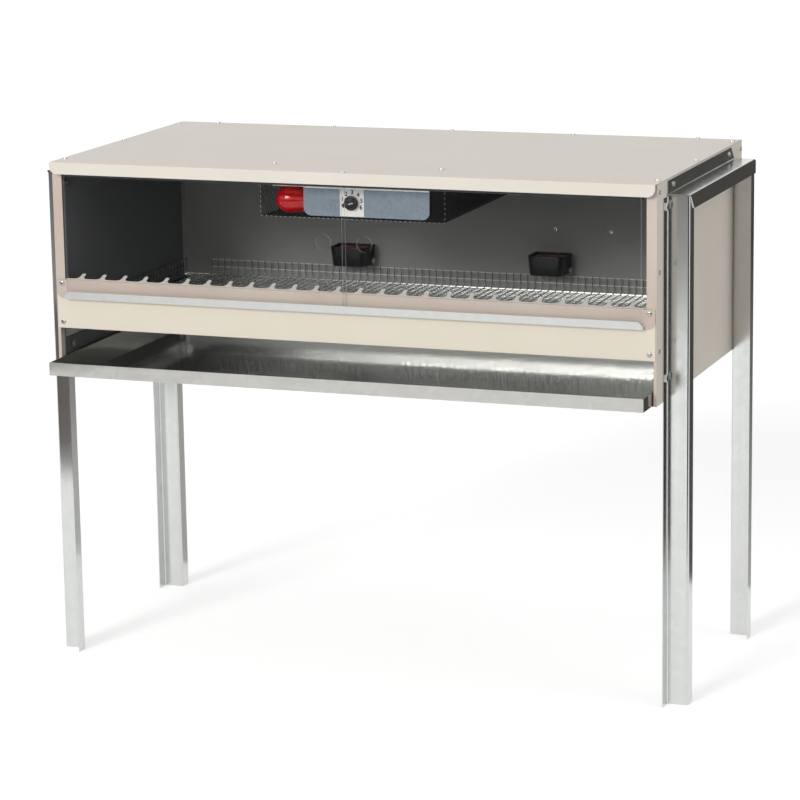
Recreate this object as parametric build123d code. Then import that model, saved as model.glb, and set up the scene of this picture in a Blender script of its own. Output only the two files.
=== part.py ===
from build123d import *
import os
from math import acos, atan2, cos, floor, hypot, pi, sin

# Cabinet shell, all sizes in millimetres
cabinet_width = 1000.0
cabinet_depth = 510.0
cabinet_height = 340.0
clear_height = 485.0
sheet = 1.0
fold_width = 15.0

# Front: corner posts, kickboard, sill rail and the top panel's lip
post_face = 16.0
post_return = 20.0
post_foot = 5.0
tray_slot = 70.5
kickboard_height = 79.0
kickboard_return = 24.0
kickboard_inset = 2.0
sill_rail_height = 30.0
sill_rail_radius = 10.0
lip_height = 19.0
lip_radius = 13.0
lip_edge_radius = 0.8

# Feeding comb on the sill and the trough behind it
comb_leg = 18.0
comb_depth = 21.0
comb_land = 4.0
comb_slope = 20.0
comb_pitch = 36.7
comb_tab = 6.5
comb_notch_radius = 8.0
comb_tip_radius = 3.0
comb_end_gap = 1.0
trough_width = 58.0
trough_height = 42.0
trough_sheet = 0.8
trough_front_gap = 2.0
trough_end_gap = 3.0

# Sliding doors and their tracks
door_thickness = 2.5
door_play = 0.35
door_lap = 4.0
door_edge_gap = 6.0
door_bottom_gap = 0.3
door_top_gap = 4.0
finger_hole = 25.0
finger_hole_from_middle = 35.0
finger_hole_above_sill = 80.5
track_wall = 0.8
track_lip = 1.0
track_web = 1.2
track_lip_height = 12.0
track_rib_height = 6.0
track_leg_height = 10.0
track_lip_radius = 11.0
track_end_gap = 3.0
door_stop_play = 0.5
upper_track_base = 2.0
upper_track_show = 4.0

# Legs and top rails, folded to a Z section
leg_web = 36.0
leg_flange = 22.0
leg_sheet = 1.5
leg_bend = 2.0
leg_setback = 55.0
leg_chamfer_height = 18.0
leg_chamfer_depth = 12.0
rail_flange = 21.5
rail_drop = 3.0
rail_end_slant = 20.0

# Dropping tray
tray_pull = 50.0
tray_depth = 500.0
tray_lip = 21.0
tray_sheet = 0.8
tray_side_gap = 1.5
tray_lift = 0.3
tray_hem = 8.0

# Wire mesh floor and its supports
mesh_wire = 1.8
mesh_cell = 50.8
mesh_bar = 3.0
mesh_upstand = 25.4
mesh_gap = 3.0
support_leg = 20.0
support_shelf = 18.0
support_end_gap = 2.0

# Heater guard of diamond mesh under the ceiling
guard_width = 307.0
guard_height = 78.0
guard_front = 30.0
guard_sheet = 1.0
guard_cell = 39.0
guard_strand = 4.0
guard_rail_width = 20.0
guard_back_gap = 1.0

# Control bracket, dial and thermostat
bracket_left = 133.0
bracket_right = 128.0
plate_left = 81.0
plate_height = 46.0
plate_radius = 12.0
plate_setback = 2.0
shelf_drop = 28.0
shelf_depth = 43.0
hanger_width = 26.0
hanger_setback = 18.0
hanger_foot = 18.0
dial_width = 40.0
dial_thickness = 0.5
dial_margin = 1.0
thermostat_width = 38.0
thermostat_height = 30.0
thermostat_depth = 28.0
bush_diameter = 10.0
bush_nut_flats = 14.0
bush_nut_height = 2.5
shaft_diameter = 6.0
shaft_length = 30.0
shaft_play = 0.05
knob_diameter = 26.0
knob_base = 8.0
knob_rim_round = 1.6
knob_grip_height = 7.0
knob_grip_width = 7.0
knob_gap = 0.5
knob_bore_depth = 10.0
knob_angle = 75.0

# Red lamp and its holder
bulb_radius = 22.0
bulb_neck_radius = 12.0
bulb_neck_length = 16.0
bulb_cap_radius = 6.8
bulb_cap_length = 20.0
bulb_left = 114.0
bulb_setback = 25.0
bulb_below_shelf = 24.0
holder_radius = 13.0
holder_length = 36.0
holder_bore_play = 0.2
holder_saddle = 16.0

# Heating element and its two carriers
element_tube = 8.5
element_spread = 120.0
element_setback = 65.0
element_length = 300.0
element_drop = 48.0
carrier_width = 18.0
carrier_tongue = 28.0
element_play = 0.15
element_tail = 12.0

# Drinkers on the back wall
cup_width = 64.0
cup_depth = 50.0
cup_height = 34.0
cup_wall = 2.0
cup_radius = 8.0
cup_spacing = 354.0
cup_above_mesh = 30.0
paddle_width = 48.0
paddle_length = 30.0
paddle_thickness = 2.0
paddle_barrel = 6.0
paddle_below_rim = 6.0
paddle_setback = 6.0
paddle_pin = 2.5
paddle_pin_hold = 1.2
paddle_pin_play = 0.05
inlet_diameter = 10.0
hose_tail = 8.0
hose_tail_length = 15.0
inlet_head = 14.0
inlet_head_depth = 3.0
inlet_play = 0.2
inlet_above_cup_floor = 10.0
inlet_thread_show = 2.0
inlet_nut_flats = 14.0
inlet_nut_height = 5.0
plug_diameter = 5.0
plug_head = 8.0
plug_head_height = 2.0
plug_setback = 10.0
plug_above_cup_base = 7.0

# Cable gland in the back wall
gland_thread = 12.0
gland_play = 0.2
gland_flats = 18.0
gland_hex = 7.0
gland_dome = 8.0
gland_dome_length = 9.0
gland_dome_round = 3.0
gland_lock_nut = 4.0
gland_below_ceiling = 26.0

# Fasteners
screw_shank = 3.5
screw_head = 8.0
screw_head_height = 2.2
screw_head_round = 1.3
screw_play = 0.1
bolt_shank = 6.0
bolt_head = 11.0
bolt_head_height = 3.5
bolt_nut_flats = 10.0
bolt_nut_height = 5.0
top_screw_inset = 8.0
top_screw_end = 32.0
top_screw_back_pitch = 214.0
kickboard_screw_inset = 11.0
kickboard_screw_low = 10.0
kickboard_screw_high = 6.0
post_screw_inset = 10.0
post_screw_end = 13.0
leg_bolt_low = 36.0
leg_bolt_top = 14.0
rail_screw_inset = 32.0
rivet_inset = 40.0
back_screw_height = 104.0
back_screw_near = 181.0
back_screw_far = 278.0

# Planes and levels that several pieces share
half_width = cabinet_width / 2
inner_half = half_width - sheet
opening_half = half_width - post_face
inlet_shoulder = inlet_nut_height + inlet_thread_show
rear_reach = max(inlet_shoulder + hose_tail_length, gland_hex + gland_dome_length)
overall_depth = tray_pull + cabinet_depth + rear_reach
front = tray_pull - overall_depth / 2
back = front + cabinet_depth
back_inner = back - sheet
top = clear_height + cabinet_height
ceiling = top - sheet
kick_bottom = clear_height + tray_slot
sill = kick_bottom + kickboard_height
mesh_base = kick_bottom + sheet
mesh_top = mesh_base + 2 * mesh_wire
groove = door_thickness + 2 * door_play
rail_face = front - 2 * sheet
track_leg_face = rail_face - track_wall
rear_groove_face = track_leg_face - groove
rib_face = rear_groove_face - track_wall
front_groove_face = rib_face - groove
lip_face = front_groove_face - track_lip
track_bottom = sill - sill_rail_height
rail_top = top - rail_drop
rail_web_under = rail_top - rail_flange
leg_top = rail_web_under - leg_bend
guard_half = guard_width / 2
guard_bottom = ceiling - guard_height
plate_face = front + guard_front + plate_setback
shelf_top = ceiling - shelf_drop
plate_bottom = shelf_top - plate_height
knob_height = (shelf_top - sheet + plate_bottom) / 2
cup_base = mesh_top + cup_above_mesh
cup_rim = cup_base + cup_height
screw_hole = screw_shank + 2 * screw_play
bolt_hole = bolt_shank + 2 * screw_play
bush_hole = bush_diameter + 2 * screw_play


def block(x0, x1, y0, y1, z0, z1):
    """A box between two opposite corners."""
    middle = Pos((x0 + x1) / 2, (y0 + y1) / 2, (z0 + z1) / 2)
    return middle * Box(abs(x1 - x0), abs(y1 - y0), abs(z1 - z0))


def rod(diameter, start, end):
    """A round bar from one point to another."""
    a = Vector(*start)
    b = Vector(*end)
    axis = Plane(origin=a, z_dir=b - a)
    return axis * Cylinder(diameter / 2, (b - a).length, align=(Align.CENTER, Align.CENTER, Align.MIN))


def hexagon(flats, start, end):
    """A hexagonal bar from one point to another, by its width across flats."""
    a = Vector(*start)
    b = Vector(*end)
    outline = RegularPolygon(flats / 2, 6, major_radius=False)
    return Plane(origin=a, z_dir=b - a) * extrude(outline, (b - a).length)


def mirrored(shape):
    """The same piece on the cabinet's other side."""
    return mirror(shape, about=Plane.YZ)


def along(point, direction, distance):
    """A point moved by a distance along a direction."""
    return tuple(p + d * distance for p, d in zip(point, direction))


def screw(seat, outward, grip):
    """A pan head screw whose head sits on seat and whose shank runs inwards by grip."""
    shank = rod(screw_shank, along(seat, outward, -grip), seat)
    head = rod(screw_head, seat, along(seat, outward, screw_head_height))
    rims = head.edges().filter_by(GeomType.CIRCLE)
    rim = rims.sort_by(lambda e: Vector(*outward).dot(e.center()))[-1]
    return shank + fillet(rim, screw_head_round)


def holes(seats, direction, diameter, depth):
    """Drills that pass right through sheets at each seat."""
    drills = []
    for seat in seats:
        drills.append(rod(diameter, along(seat, direction, -depth), along(seat, direction, depth)))
    return drills


def net(width, length, cell, bar):
    """A flat net as one holed face, with square gaps between bars."""
    columns = max(1, round((width - bar) / cell))
    rows = max(1, round((length - bar) / cell))
    step_x = (width - bar) / columns
    step_y = (length - bar) / rows
    gaps = []
    for column in range(columns):
        for row in range(rows):
            x = -width / 2 + bar / 2 + step_x * (column + 0.5)
            y = -length / 2 + bar / 2 + step_y * (row + 0.5)
            gaps.append((Pos(x, y) * Rectangle(step_x - bar, step_y - bar)).wire())
    return Face(Rectangle(width, length).wire(), gaps)


def diamond_net(width, length, cell, strand):
    """A flat net as one holed face, with staggered diamond gaps and a plain edge."""
    columns = max(1, round((width - strand) / cell))
    rows = max(1, round((length - strand) / cell))
    step_x = (width - strand) / columns
    step_y = (length - strand) / rows
    across = step_x / 2 - strand
    up = step_y / 2 - strand
    gaps = []
    for shift in (0, 1):
        for column in range(columns - shift):
            for row in range(rows - shift):
                x = -width / 2 + strand / 2 + step_x * (column + 0.5 + shift / 2)
                y = -length / 2 + strand / 2 + step_y * (row + 0.5 + shift / 2)
                corners = [(x + across, y), (x, y + up), (x - across, y), (x, y - up)]
                gaps.append(Wire.make_polygon(corners, close=True))
    return Face(Rectangle(width, length).wire(), gaps)


def z_section(web, low_flange, high_flange, thickness, bend):
    """A Z outline: web along X, one flange to -Y at its start and one to +Y at its end."""
    points = [
        (0, -low_flange),
        (thickness, -low_flange),
        (thickness, 0),
        (web, 0),
        (web, thickness + high_flange),
        (web - thickness, thickness + high_flange),
        (web - thickness, thickness),
        (0, thickness),
    ]
    outline = Polygon(*points, align=None)
    inner_points = ((thickness, 0), (web - thickness, thickness))
    inner = [v for v in outline.vertices() if (v.X, v.Y) in inner_points]
    outline = fillet(inner, bend)
    outer = [v for v in outline.vertices() if (v.X, v.Y) in ((0, thickness), (web, 0))]
    return fillet(outer, bend + thickness)


# Seats of the screws, listed once for the pieces that they join
side_screw_y = [front + top_screw_end, (front + back) / 2, back - top_screw_end]
side_seats = [(s * (half_width - top_screw_inset), y, top) for s in (-1, 1) for y in side_screw_y]
back_seats = [(i * top_screw_back_pitch, back - top_screw_inset, top) for i in range(-2, 3)]
track_seat = [(0, rib_face + track_wall / 2, top)]
heater_seats = [
    (-bracket_left - hanger_foot / 2, plate_face + hanger_setback + hanger_width / 2, top),
    (bracket_right + hanger_foot / 2, plate_face + hanger_setback + hanger_width / 2, top),
]
kick_x = half_width - kickboard_screw_inset
kick_high_seats = [(s * kick_x, rail_face, sill - kickboard_screw_high) for s in (-1, 1)]
kick_low_seats = [(s * kick_x, front - sheet, kick_bottom + kickboard_screw_low) for s in (-1, 1)]
post_screw_z = [kick_bottom + post_screw_end, (kick_bottom + ceiling) / 2, ceiling - post_screw_end]
wall_seats = [
    (half_width, y, z) for y in (front + post_screw_inset, back - post_screw_inset) for z in post_screw_z
]
leg_bolt_y = [front + leg_setback - leg_flange / 2, back - leg_setback + leg_flange / 2]
leg_seats = [
    (half_width + leg_sheet, y, z)
    for y in leg_bolt_y
    for z in (clear_height + leg_bolt_low, leg_top - leg_bolt_top)
]
rail_seats = [
    (half_width + leg_sheet, y, rail_top - rail_flange / 2 + leg_sheet)
    for y in (front + leg_setback + rail_screw_inset, back - leg_setback - rail_screw_inset)
]
rivet_seats = [
    (inner_half - sheet, y, kick_bottom - support_leg / 2) for y in (front + rivet_inset, back - rivet_inset)
]
back_wall_seats = [(x, back_inner, mesh_top + back_screw_height) for x in (back_screw_near, back_screw_far)]
cup_seats = [-cup_spacing / 2, cup_spacing / 2]
inlet_height = cup_base + cup_wall + inlet_above_cup_floor
gland_seat = (0, back, ceiling - gland_below_ceiling)
bush_seat = (0, plate_face, knob_height)


# Shell of the cabinet
def top_panel():
    """Folded top with a front lip that hides the door track."""
    lid = block(-half_width, half_width, lip_face, back, ceiling, top)
    lip = block(-half_width, half_width, lip_face, lip_face + track_lip, top - lip_height, ceiling)
    low_corners = lip.edges().filter_by(Axis.Y).group_by(Axis.Z)[0]
    panel = lid + fillet(low_corners, lip_radius)
    front_edge = panel.edges().filter_by(Axis.X).filter_by(lambda e: e.length > half_width)
    front_edge = front_edge.group_by(Axis.Z)[-1].sort_by(Axis.Y)[0]
    panel = fillet(front_edge, lip_edge_radius)
    seats = side_seats + back_seats + track_seat + heater_seats
    return panel - holes(seats, (0, 0, 1), screw_hole, 2 * sheet)


def side_wall():
    """Right side wall, folded inwards at the top for the lid and at the bottom for the tray."""
    wall = block(inner_half, half_width, front + sheet, back, clear_height, ceiling)
    fold = half_width - fold_width
    for low in (clear_height, ceiling - sheet):
        wall += block(fold, inner_half, front + sheet, back_inner, low, low + sheet)
    wall -= holes(side_seats, (0, 0, 1), screw_hole, 3 * sheet)
    wall -= holes(wall_seats + rail_seats, (1, 0, 0), screw_hole, 3 * sheet + leg_sheet)
    wall -= holes(rivet_seats, (1, 0, 0), screw_hole, 3 * sheet)
    return wall - holes(leg_seats, (1, 0, 0), bolt_hole, 3 * sheet + leg_sheet)


def back_wall():
    """Back panel between the side walls, with forward folds at its sides and top."""
    fold = back - fold_width
    low = clear_height + sheet
    panel = block(-inner_half, inner_half, back_inner, back, clear_height, ceiling)
    for side in (-1, 1):
        panel += block(side * (inner_half - sheet), side * inner_half, fold, back_inner, low, ceiling - sheet)
    top_half = half_width - fold_width
    panel += block(-top_half, top_half, fold, back_inner, ceiling - sheet, ceiling)
    mirrored_seats = [(-x, y, z) for x, y, z in wall_seats]
    panel -= holes(wall_seats + mirrored_seats, (1, 0, 0), screw_hole, 3 * sheet)
    panel -= holes(back_seats, (0, 0, 1), screw_hole, 3 * sheet)
    panel -= holes(back_wall_seats, (0, 1, 0), screw_hole, 3 * sheet)
    inlets = [(x, back, inlet_height) for x in cup_seats]
    panel -= holes(inlets, (0, 1, 0), inlet_diameter + 2 * inlet_play, 3 * sheet)
    return panel - holes([gland_seat], (0, 1, 0), gland_thread + 2 * gland_play, 3 * sheet)


def front_post():
    """Right corner post: a front face beside the window and a return screwed to the wall."""
    post = block(opening_half, half_width, front, front + sheet, kick_bottom, ceiling)
    post += block(half_width - post_foot, half_width, front, front + sheet, clear_height, kick_bottom)
    low = clear_height + sheet
    post += block(inner_half - sheet, inner_half, front + sheet, front + post_return, low, ceiling - sheet)
    post -= holes(wall_seats, (1, 0, 0), screw_hole, 3 * sheet)
    return post - holes(kick_high_seats + kick_low_seats, (0, 1, 0), screw_hole, 4 * sheet)


def kickboard():
    """Front panel below the window, folded inwards at the bottom to carry the mesh."""
    half = half_width - kickboard_inset
    shelf_half = opening_half - comb_end_gap
    board = block(-half, half, front - sheet, front, kick_bottom, sill)
    board += block(-shelf_half, shelf_half, front, front + kickboard_return, kick_bottom, mesh_base)
    return board - holes(kick_high_seats + kick_low_seats, (0, 1, 0), screw_hole, 4 * sheet)


def sill_rail():
    """Flat rail along the top of the kickboard, behind the doors."""
    half = half_width - kickboard_inset
    rail = block(-half, half, rail_face, front - sheet, track_bottom, sill)
    low_corners = rail.edges().filter_by(Axis.Y).group_by(Axis.Z)[0]
    rail = fillet(low_corners, sill_rail_radius)
    return rail - holes(kick_high_seats, (0, 1, 0), screw_hole, 4 * sheet)


# Feeding comb and trough
def feeding_comb():
    """Angle strip on the sill whose raised edge is cut into narrow tabs by U notches."""
    half = opening_half - comb_end_gap
    count = floor(2 * half / comb_pitch)
    notch_width = comb_pitch - comb_tab
    strip = Pos(0, comb_depth / 2) * Rectangle(2 * half, comb_depth)
    notch = RectangleRounded(notch_width, 2 * (comb_depth - comb_land), comb_notch_radius)
    cuts = [Pos((i - count / 2) * comb_pitch, comb_depth) * notch for i in range(count + 1)]
    outline = strip - cuts
    outline = fillet(outline.vertices().group_by(Axis.Y)[-1], comb_tip_radius)
    flap = extrude(outline, sheet)
    flap = Pos(0, front + sheet / 2, sill - sheet) * Rot(comb_slope, 0, 0) * flap
    return flap + block(-half, half, front, front + sheet, sill - comb_leg, sill - sheet / 4)


def feed_trough():
    """Open channel with closed ends that stands on the mesh behind the kickboard."""
    half = opening_half - trough_end_gap
    near = front + sheet + trough_front_gap
    shell = block(-half, half, near, near + trough_width, mesh_top, mesh_top + trough_height)
    inside = block(
        trough_sheet - half,
        half - trough_sheet,
        near + trough_sheet,
        near + trough_width - trough_sheet,
        mesh_top + trough_sheet,
        mesh_top + trough_height + sheet,
    )
    return shell - inside


# Sliding doors and tracks
def lower_track():
    """Two groove track on the sill rail, with a round cornered front lip and closed ends."""
    half = opening_half - track_end_gap
    stop = opening_half - door_edge_gap + door_stop_play
    web_top = track_bottom + track_web
    rib_top = track_bottom + track_rib_height
    track = block(-half, half, lip_face, rail_face, track_bottom, web_top)
    track += block(-half, half, track_leg_face, rail_face, web_top, track_bottom + track_leg_height)
    track += block(-half, half, rib_face, rear_groove_face, web_top, rib_top)
    for side in (-1, 1):
        track += block(side * stop, side * half, front_groove_face, track_leg_face, web_top, rib_top)
    lip = block(-half, half, lip_face, front_groove_face, track_bottom, track_bottom + track_lip_height)
    high_corners = lip.edges().filter_by(Axis.Y).group_by(Axis.Z)[-1]
    return track + fillet(high_corners, track_lip_radius)


def upper_track():
    """Guide behind the lip: a strip under the lid, with a rib between the doors and one behind them."""
    half = opening_half - track_end_gap
    base_under = ceiling - upper_track_base
    low = top - lip_height - upper_track_show
    base = block(-half, half, front_groove_face, rail_face, base_under, ceiling)
    base -= holes(track_seat, (0, 0, 1), screw_hole, sheet + upper_track_base)
    rib = block(-half, half, rib_face, rear_groove_face, low, base_under)
    rear_rib = block(-half, half, track_leg_face, rail_face, low, base_under)
    return [base, rib, rear_rib]


def door(side):
    """One clear pane with a finger hole near its inner edge."""
    outer = side * (opening_half - door_edge_gap)
    inner = -side * door_lap / 2
    rear = rear_groove_face if side < 0 else front_groove_face
    low = track_bottom + track_web + door_bottom_gap
    high = ceiling - upper_track_base - door_top_gap
    pane = block(inner, outer, rear + door_play, rear + door_play + door_thickness, low, high)
    hole = (side * finger_hole_from_middle, rear, sill + finger_hole_above_sill)
    return pane - holes([hole], (0, 1, 0), finger_hole, 2 * groove)


# Legs and rails
def leg():
    """Right front leg: one flange on the wall, web outwards, second flange turned back."""
    outline = z_section(leg_web, leg_flange, leg_flange, leg_sheet, leg_bend)
    post = Pos(half_width, front + leg_setback, 0) * extrude(outline, leg_top)
    tip = front + leg_setback - leg_flange
    wedge = Polygon(
        (tip, leg_top), (tip + leg_chamfer_depth, leg_top), (tip, leg_top - leg_chamfer_height), align=None
    )
    cutter = Plane.YZ.offset(half_width) * extrude(wedge, leg_sheet)
    seats = [seat for seat in leg_seats if seat[1] < (front + back) / 2]
    return post - cutter - holes(seats, (1, 0, 0), bolt_hole, 2 * leg_sheet)


def back_leg():
    """Right back leg, the front leg turned about the cabinet's middle."""
    return mirror(leg(), about=Plane.XZ.offset(-(front + back) / 2))


def top_rail():
    """Right rail on the leg tops: one flange on the wall, one hanging outside the legs."""
    outline = z_section(leg_web + leg_sheet, rail_flange - leg_sheet, rail_flange, leg_sheet, leg_bend)
    near = front + leg_setback
    far = back - leg_setback
    web_top = rail_web_under + leg_sheet
    lie = Plane(origin=(half_width, near, web_top), x_dir=(1, 0, 0), z_dir=(0, 1, 0))
    rail = lie * extrude(outline, far - near)
    low = rail_web_under - rail_flange
    cuts = []
    for end, step in ((near, rail_end_slant), (far, -rail_end_slant)):
        for level, fold in ((rail_top, web_top), (low, rail_web_under)):
            corner = Polygon((end, level), (end + step, level), (end, fold), align=None)
            cuts.append(Plane.YZ.offset(half_width) * extrude(corner, leg_web + 2 * leg_sheet))
    rail -= cuts
    return rail - holes(rail_seats, (1, 0, 0), screw_hole, 2 * leg_sheet)


# Tray, mesh floor and supports
def tray():
    """Shallow dropping tray, pulled out a little, with a hemmed front lip."""
    half = half_width - post_foot - tray_side_gap
    near = front - tray_pull
    far = near + tray_depth
    low = clear_height + sheet + tray_lift
    pan = block(-half, half, near, far, low, low + tray_lip)
    inside = block(
        tray_sheet - half, half - tray_sheet, near + tray_sheet, far - tray_sheet, low + tray_sheet, top
    )
    hem = block(
        tray_sheet - half,
        half - tray_sheet,
        near + tray_sheet,
        near + 2 * tray_sheet,
        low + tray_lip - tray_hem,
        low + tray_lip,
    )
    return pan - inside + hem


mesh_half = inner_half - sheet - mesh_gap
mesh_front = front + sheet + mesh_gap
mesh_back = back_inner - mesh_gap


def evenly(low, high, pitch, width):
    """Middles of equal bars that fill a length from edge to edge at about a pitch."""
    count = max(1, round((high - low - width) / pitch))
    step = (high - low - width) / count
    return [low + width / 2 + step * i for i in range(count + 1)]


def mesh_long_wires():
    """Lower wires of the mesh floor, from wall to wall."""
    rows = evenly(mesh_front, mesh_back, mesh_cell, mesh_bar)
    level = mesh_base + mesh_wire
    return [
        block(-mesh_half, mesh_half, y - mesh_bar / 2, y + mesh_bar / 2, mesh_base, level) for y in rows
    ]


def mesh_cross_wires():
    """Upper wires of the mesh floor, from front to back, welded on the lower ones."""
    columns = evenly(-mesh_half, mesh_half, mesh_cell, mesh_bar)
    level = mesh_base + mesh_wire
    return [
        block(x - mesh_bar / 2, x + mesh_bar / 2, mesh_front, mesh_back, level, mesh_top) for x in columns
    ]


def mesh_edge(length):
    """Upright edge of the mesh, standing in its own plane."""
    face = net(length, mesh_upstand, mesh_cell, mesh_bar)
    return extrude(face, mesh_wire, dir=(0, 0, 1))


def mesh_back_edge():
    """Edge of the mesh that is bent up along the back wall."""
    stand = Plane(origin=(0, mesh_back, mesh_top + mesh_upstand / 2), x_dir=(1, 0, 0), z_dir=(0, -1, 0))
    return stand * mesh_edge(2 * mesh_half)


def mesh_side_edge():
    """Edge of the mesh that is bent up along the right wall, behind the trough."""
    near = front + sheet + trough_front_gap + trough_width + mesh_gap
    far = mesh_back - mesh_wire
    stand = Plane(
        origin=(mesh_half, (near + far) / 2, mesh_top + mesh_upstand / 2), x_dir=(0, 1, 0), z_dir=(-1, 0, 0)
    )
    return stand * mesh_edge(far - near)


def floor_support():
    """Right angle strip that carries the mesh along the wall."""
    near = front + post_return + support_end_gap
    far = back - fold_width - support_end_gap
    strip = block(inner_half - support_shelf, inner_half, near, far, kick_bottom, mesh_base)
    strip += block(inner_half - sheet, inner_half, near, far, kick_bottom - support_leg, kick_bottom)
    near_cut = front + kickboard_return + support_end_gap
    strip -= block(inner_half - support_shelf, inner_half - sheet, near, near_cut, kick_bottom, mesh_base)
    return strip - holes(rivet_seats, (1, 0, 0), screw_hole, 3 * sheet)


# Heater guard
guard_near = front + guard_front
guard_far = back_inner - guard_back_gap


def guard_bottom_net():
    """Bottom of the heater guard."""
    face = diamond_net(guard_width, guard_far - guard_near, guard_cell, guard_strand)
    return Pos(0, (guard_near + guard_far) / 2, guard_bottom) * extrude(face, guard_sheet, dir=(0, 0, 1))


def guard_side_net():
    """Right side of the heater guard, up to the ceiling."""
    low = guard_bottom + guard_sheet
    far = back - fold_width - guard_back_gap
    face = diamond_net(far - guard_near, ceiling - low, guard_cell, guard_strand)
    stand = Plane(
        origin=(guard_half, (guard_near + far) / 2, (low + ceiling) / 2), x_dir=(0, 1, 0), z_dir=(-1, 0, 0)
    )
    return stand * extrude(face, guard_sheet, dir=(0, 0, 1))


def guard_rail():
    """Right angle strip that hangs the guard's side from the lid."""
    far = back - fold_width - guard_back_gap
    face = guard_half - guard_sheet
    strip = block(face - guard_rail_width, face, guard_near, far, ceiling - sheet, ceiling)
    strip += block(face - sheet, face, guard_near, far, ceiling - guard_rail_width, ceiling - sheet)
    seats = heater_seats + [(-x, y, z) for x, y, z in heater_seats]
    return strip - holes(seats, (0, 0, 1), screw_hole, 3 * sheet)


# Control bracket and what it carries
def control_bracket():
    """Hanging bracket: front plate with round lower corners, shelf above it and two hangers."""
    shelf_under = shelf_top - sheet
    plate = block(-plate_left, bracket_right, plate_face, plate_face + sheet, plate_bottom, shelf_under)
    low_corners = plate.edges().filter_by(Axis.Y).group_by(Axis.Z)[0]
    bracket = fillet(low_corners, plate_radius)
    shelf_back = plate_face + shelf_depth
    bracket += block(-bracket_left, bracket_right, plate_face, shelf_back, shelf_under, shelf_top)
    near = plate_face + hanger_setback
    far = near + hanger_width
    foot = ceiling - 2 * sheet
    for edge, step in ((-bracket_left, -1), (bracket_right, 1)):
        bracket += block(edge, edge - step * sheet, near, far, shelf_top, foot + sheet)
        bracket += block(edge, edge + step * hanger_foot, near, far, foot, foot + sheet)
    bracket -= holes(heater_seats, (0, 0, 1), screw_hole, 4 * sheet)
    return bracket - holes([bush_seat], (0, 1, 0), bush_hole, 3 * sheet)


def dial_plate():
    """Thin white dial behind the knob."""
    low = plate_bottom + dial_margin
    high = shelf_top - sheet - dial_margin
    dial = block(-dial_width / 2, dial_width / 2, plate_face - dial_thickness, plate_face, low, high)
    return dial - holes([bush_seat], (0, 1, 0), bush_hole, 2 * sheet)


bush_front = plate_face - dial_thickness - bush_nut_height


def thermostat():
    """Thermostat body behind the plate, with its bush through the plate and the dial."""
    rear = plate_face + sheet
    body = block(
        -thermostat_width / 2,
        thermostat_width / 2,
        rear,
        rear + thermostat_depth,
        knob_height - thermostat_height / 2,
        knob_height + thermostat_height / 2,
    )
    body += rod(bush_diameter, (0, bush_front, knob_height), (0, rear, knob_height))
    bore = shaft_diameter + 2 * shaft_play
    return body - rod(bore, (0, bush_front - sheet, knob_height), (0, bush_front + shaft_length, knob_height))


def bush_nut():
    """Flat nut that clamps the dial and the plate to the thermostat."""
    face = plate_face - dial_thickness
    nut = hexagon(bush_nut_flats, (0, bush_front, knob_height), (0, face, knob_height))
    return nut - holes([bush_seat], (0, 1, 0), bush_hole, 2 * bush_nut_height)


knob_rear = bush_front - knob_gap
shaft_front = knob_rear - knob_bore_depth + knob_gap


def thermostat_shaft():
    """Shaft that turns in the bush and carries the knob."""
    return rod(
        shaft_diameter, (0, shaft_front, knob_height), (0, bush_front + shaft_length - knob_gap, knob_height)
    )


def knob():
    """Round knob with a raised grip that points at the dial."""
    face = knob_rear - knob_base
    base = rod(knob_diameter, (0, knob_rear, knob_height), (0, face, knob_height))
    rim = base.edges().filter_by(GeomType.CIRCLE).sort_by(Axis.Y)[0]
    base = fillet(rim, knob_rim_round)
    grip = SlotOverall(knob_diameter - 2 * screw_play, knob_grip_width)
    lie = Plane(origin=(0, face, knob_height), x_dir=(0, 0, 1), z_dir=(0, -1, 0))
    body = base + lie * Rot(0, 0, -knob_angle) * extrude(grip, knob_grip_height)
    bore = shaft_diameter + 2 * shaft_play
    return body - rod(bore, (0, knob_rear + sheet, knob_height), (0, shaft_front - knob_gap, knob_height))


# Lamp
bulb_height = shelf_top - sheet - bulb_below_shelf
bulb_y = plate_face + bulb_setback
neck_end = -bulb_left + bulb_radius + bulb_neck_length


def bulb():
    """Red round lamp glass, turned about X: a ball that runs smoothly into its neck."""
    length = bulb_radius + bulb_neck_length
    touch = atan2(bulb_neck_radius, length) + acos(bulb_radius / hypot(length, bulb_neck_radius))
    half_turn = (pi + touch) / 2
    tip = (-bulb_radius, 0)
    crest = (bulb_radius * cos(half_turn), bulb_radius * sin(half_turn))
    shoulder = (bulb_radius * cos(touch), bulb_radius * sin(touch))
    ball = ThreePointArc(tip, crest, shoulder)
    neck = Polyline(shoulder, (length, bulb_neck_radius), (length, 0), tip)
    glass = revolve(make_face([ball] + neck.edges()), axis=Axis.X)
    return Pos(-bulb_left, bulb_y, bulb_height) * glass


def bulb_cap():
    """Metal screw cap of the lamp."""
    tip = neck_end + bulb_cap_length
    return rod(2 * bulb_cap_radius, (neck_end, bulb_y, bulb_height), (tip, bulb_y, bulb_height))


def lamp_holder():
    """Lamp holder with a socket for the cap and a saddle under the shelf."""
    mouth = neck_end + holder_bore_play
    end = mouth + holder_length
    body = rod(2 * holder_radius, (mouth, bulb_y, bulb_height), (end, bulb_y, bulb_height))
    half = holder_saddle / 2
    body += block(mouth, end, bulb_y - half, bulb_y + half, bulb_height, shelf_top - sheet)
    bore = 2 * (bulb_cap_radius + holder_bore_play)
    floor_x = neck_end + bulb_cap_length
    return body - rod(bore, (mouth - sheet, bulb_y, bulb_height), (floor_x, bulb_y, bulb_height))


# Heating element
element_near = plate_face + element_setback
element_far = element_near + element_length
element_height = ceiling - element_drop


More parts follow.
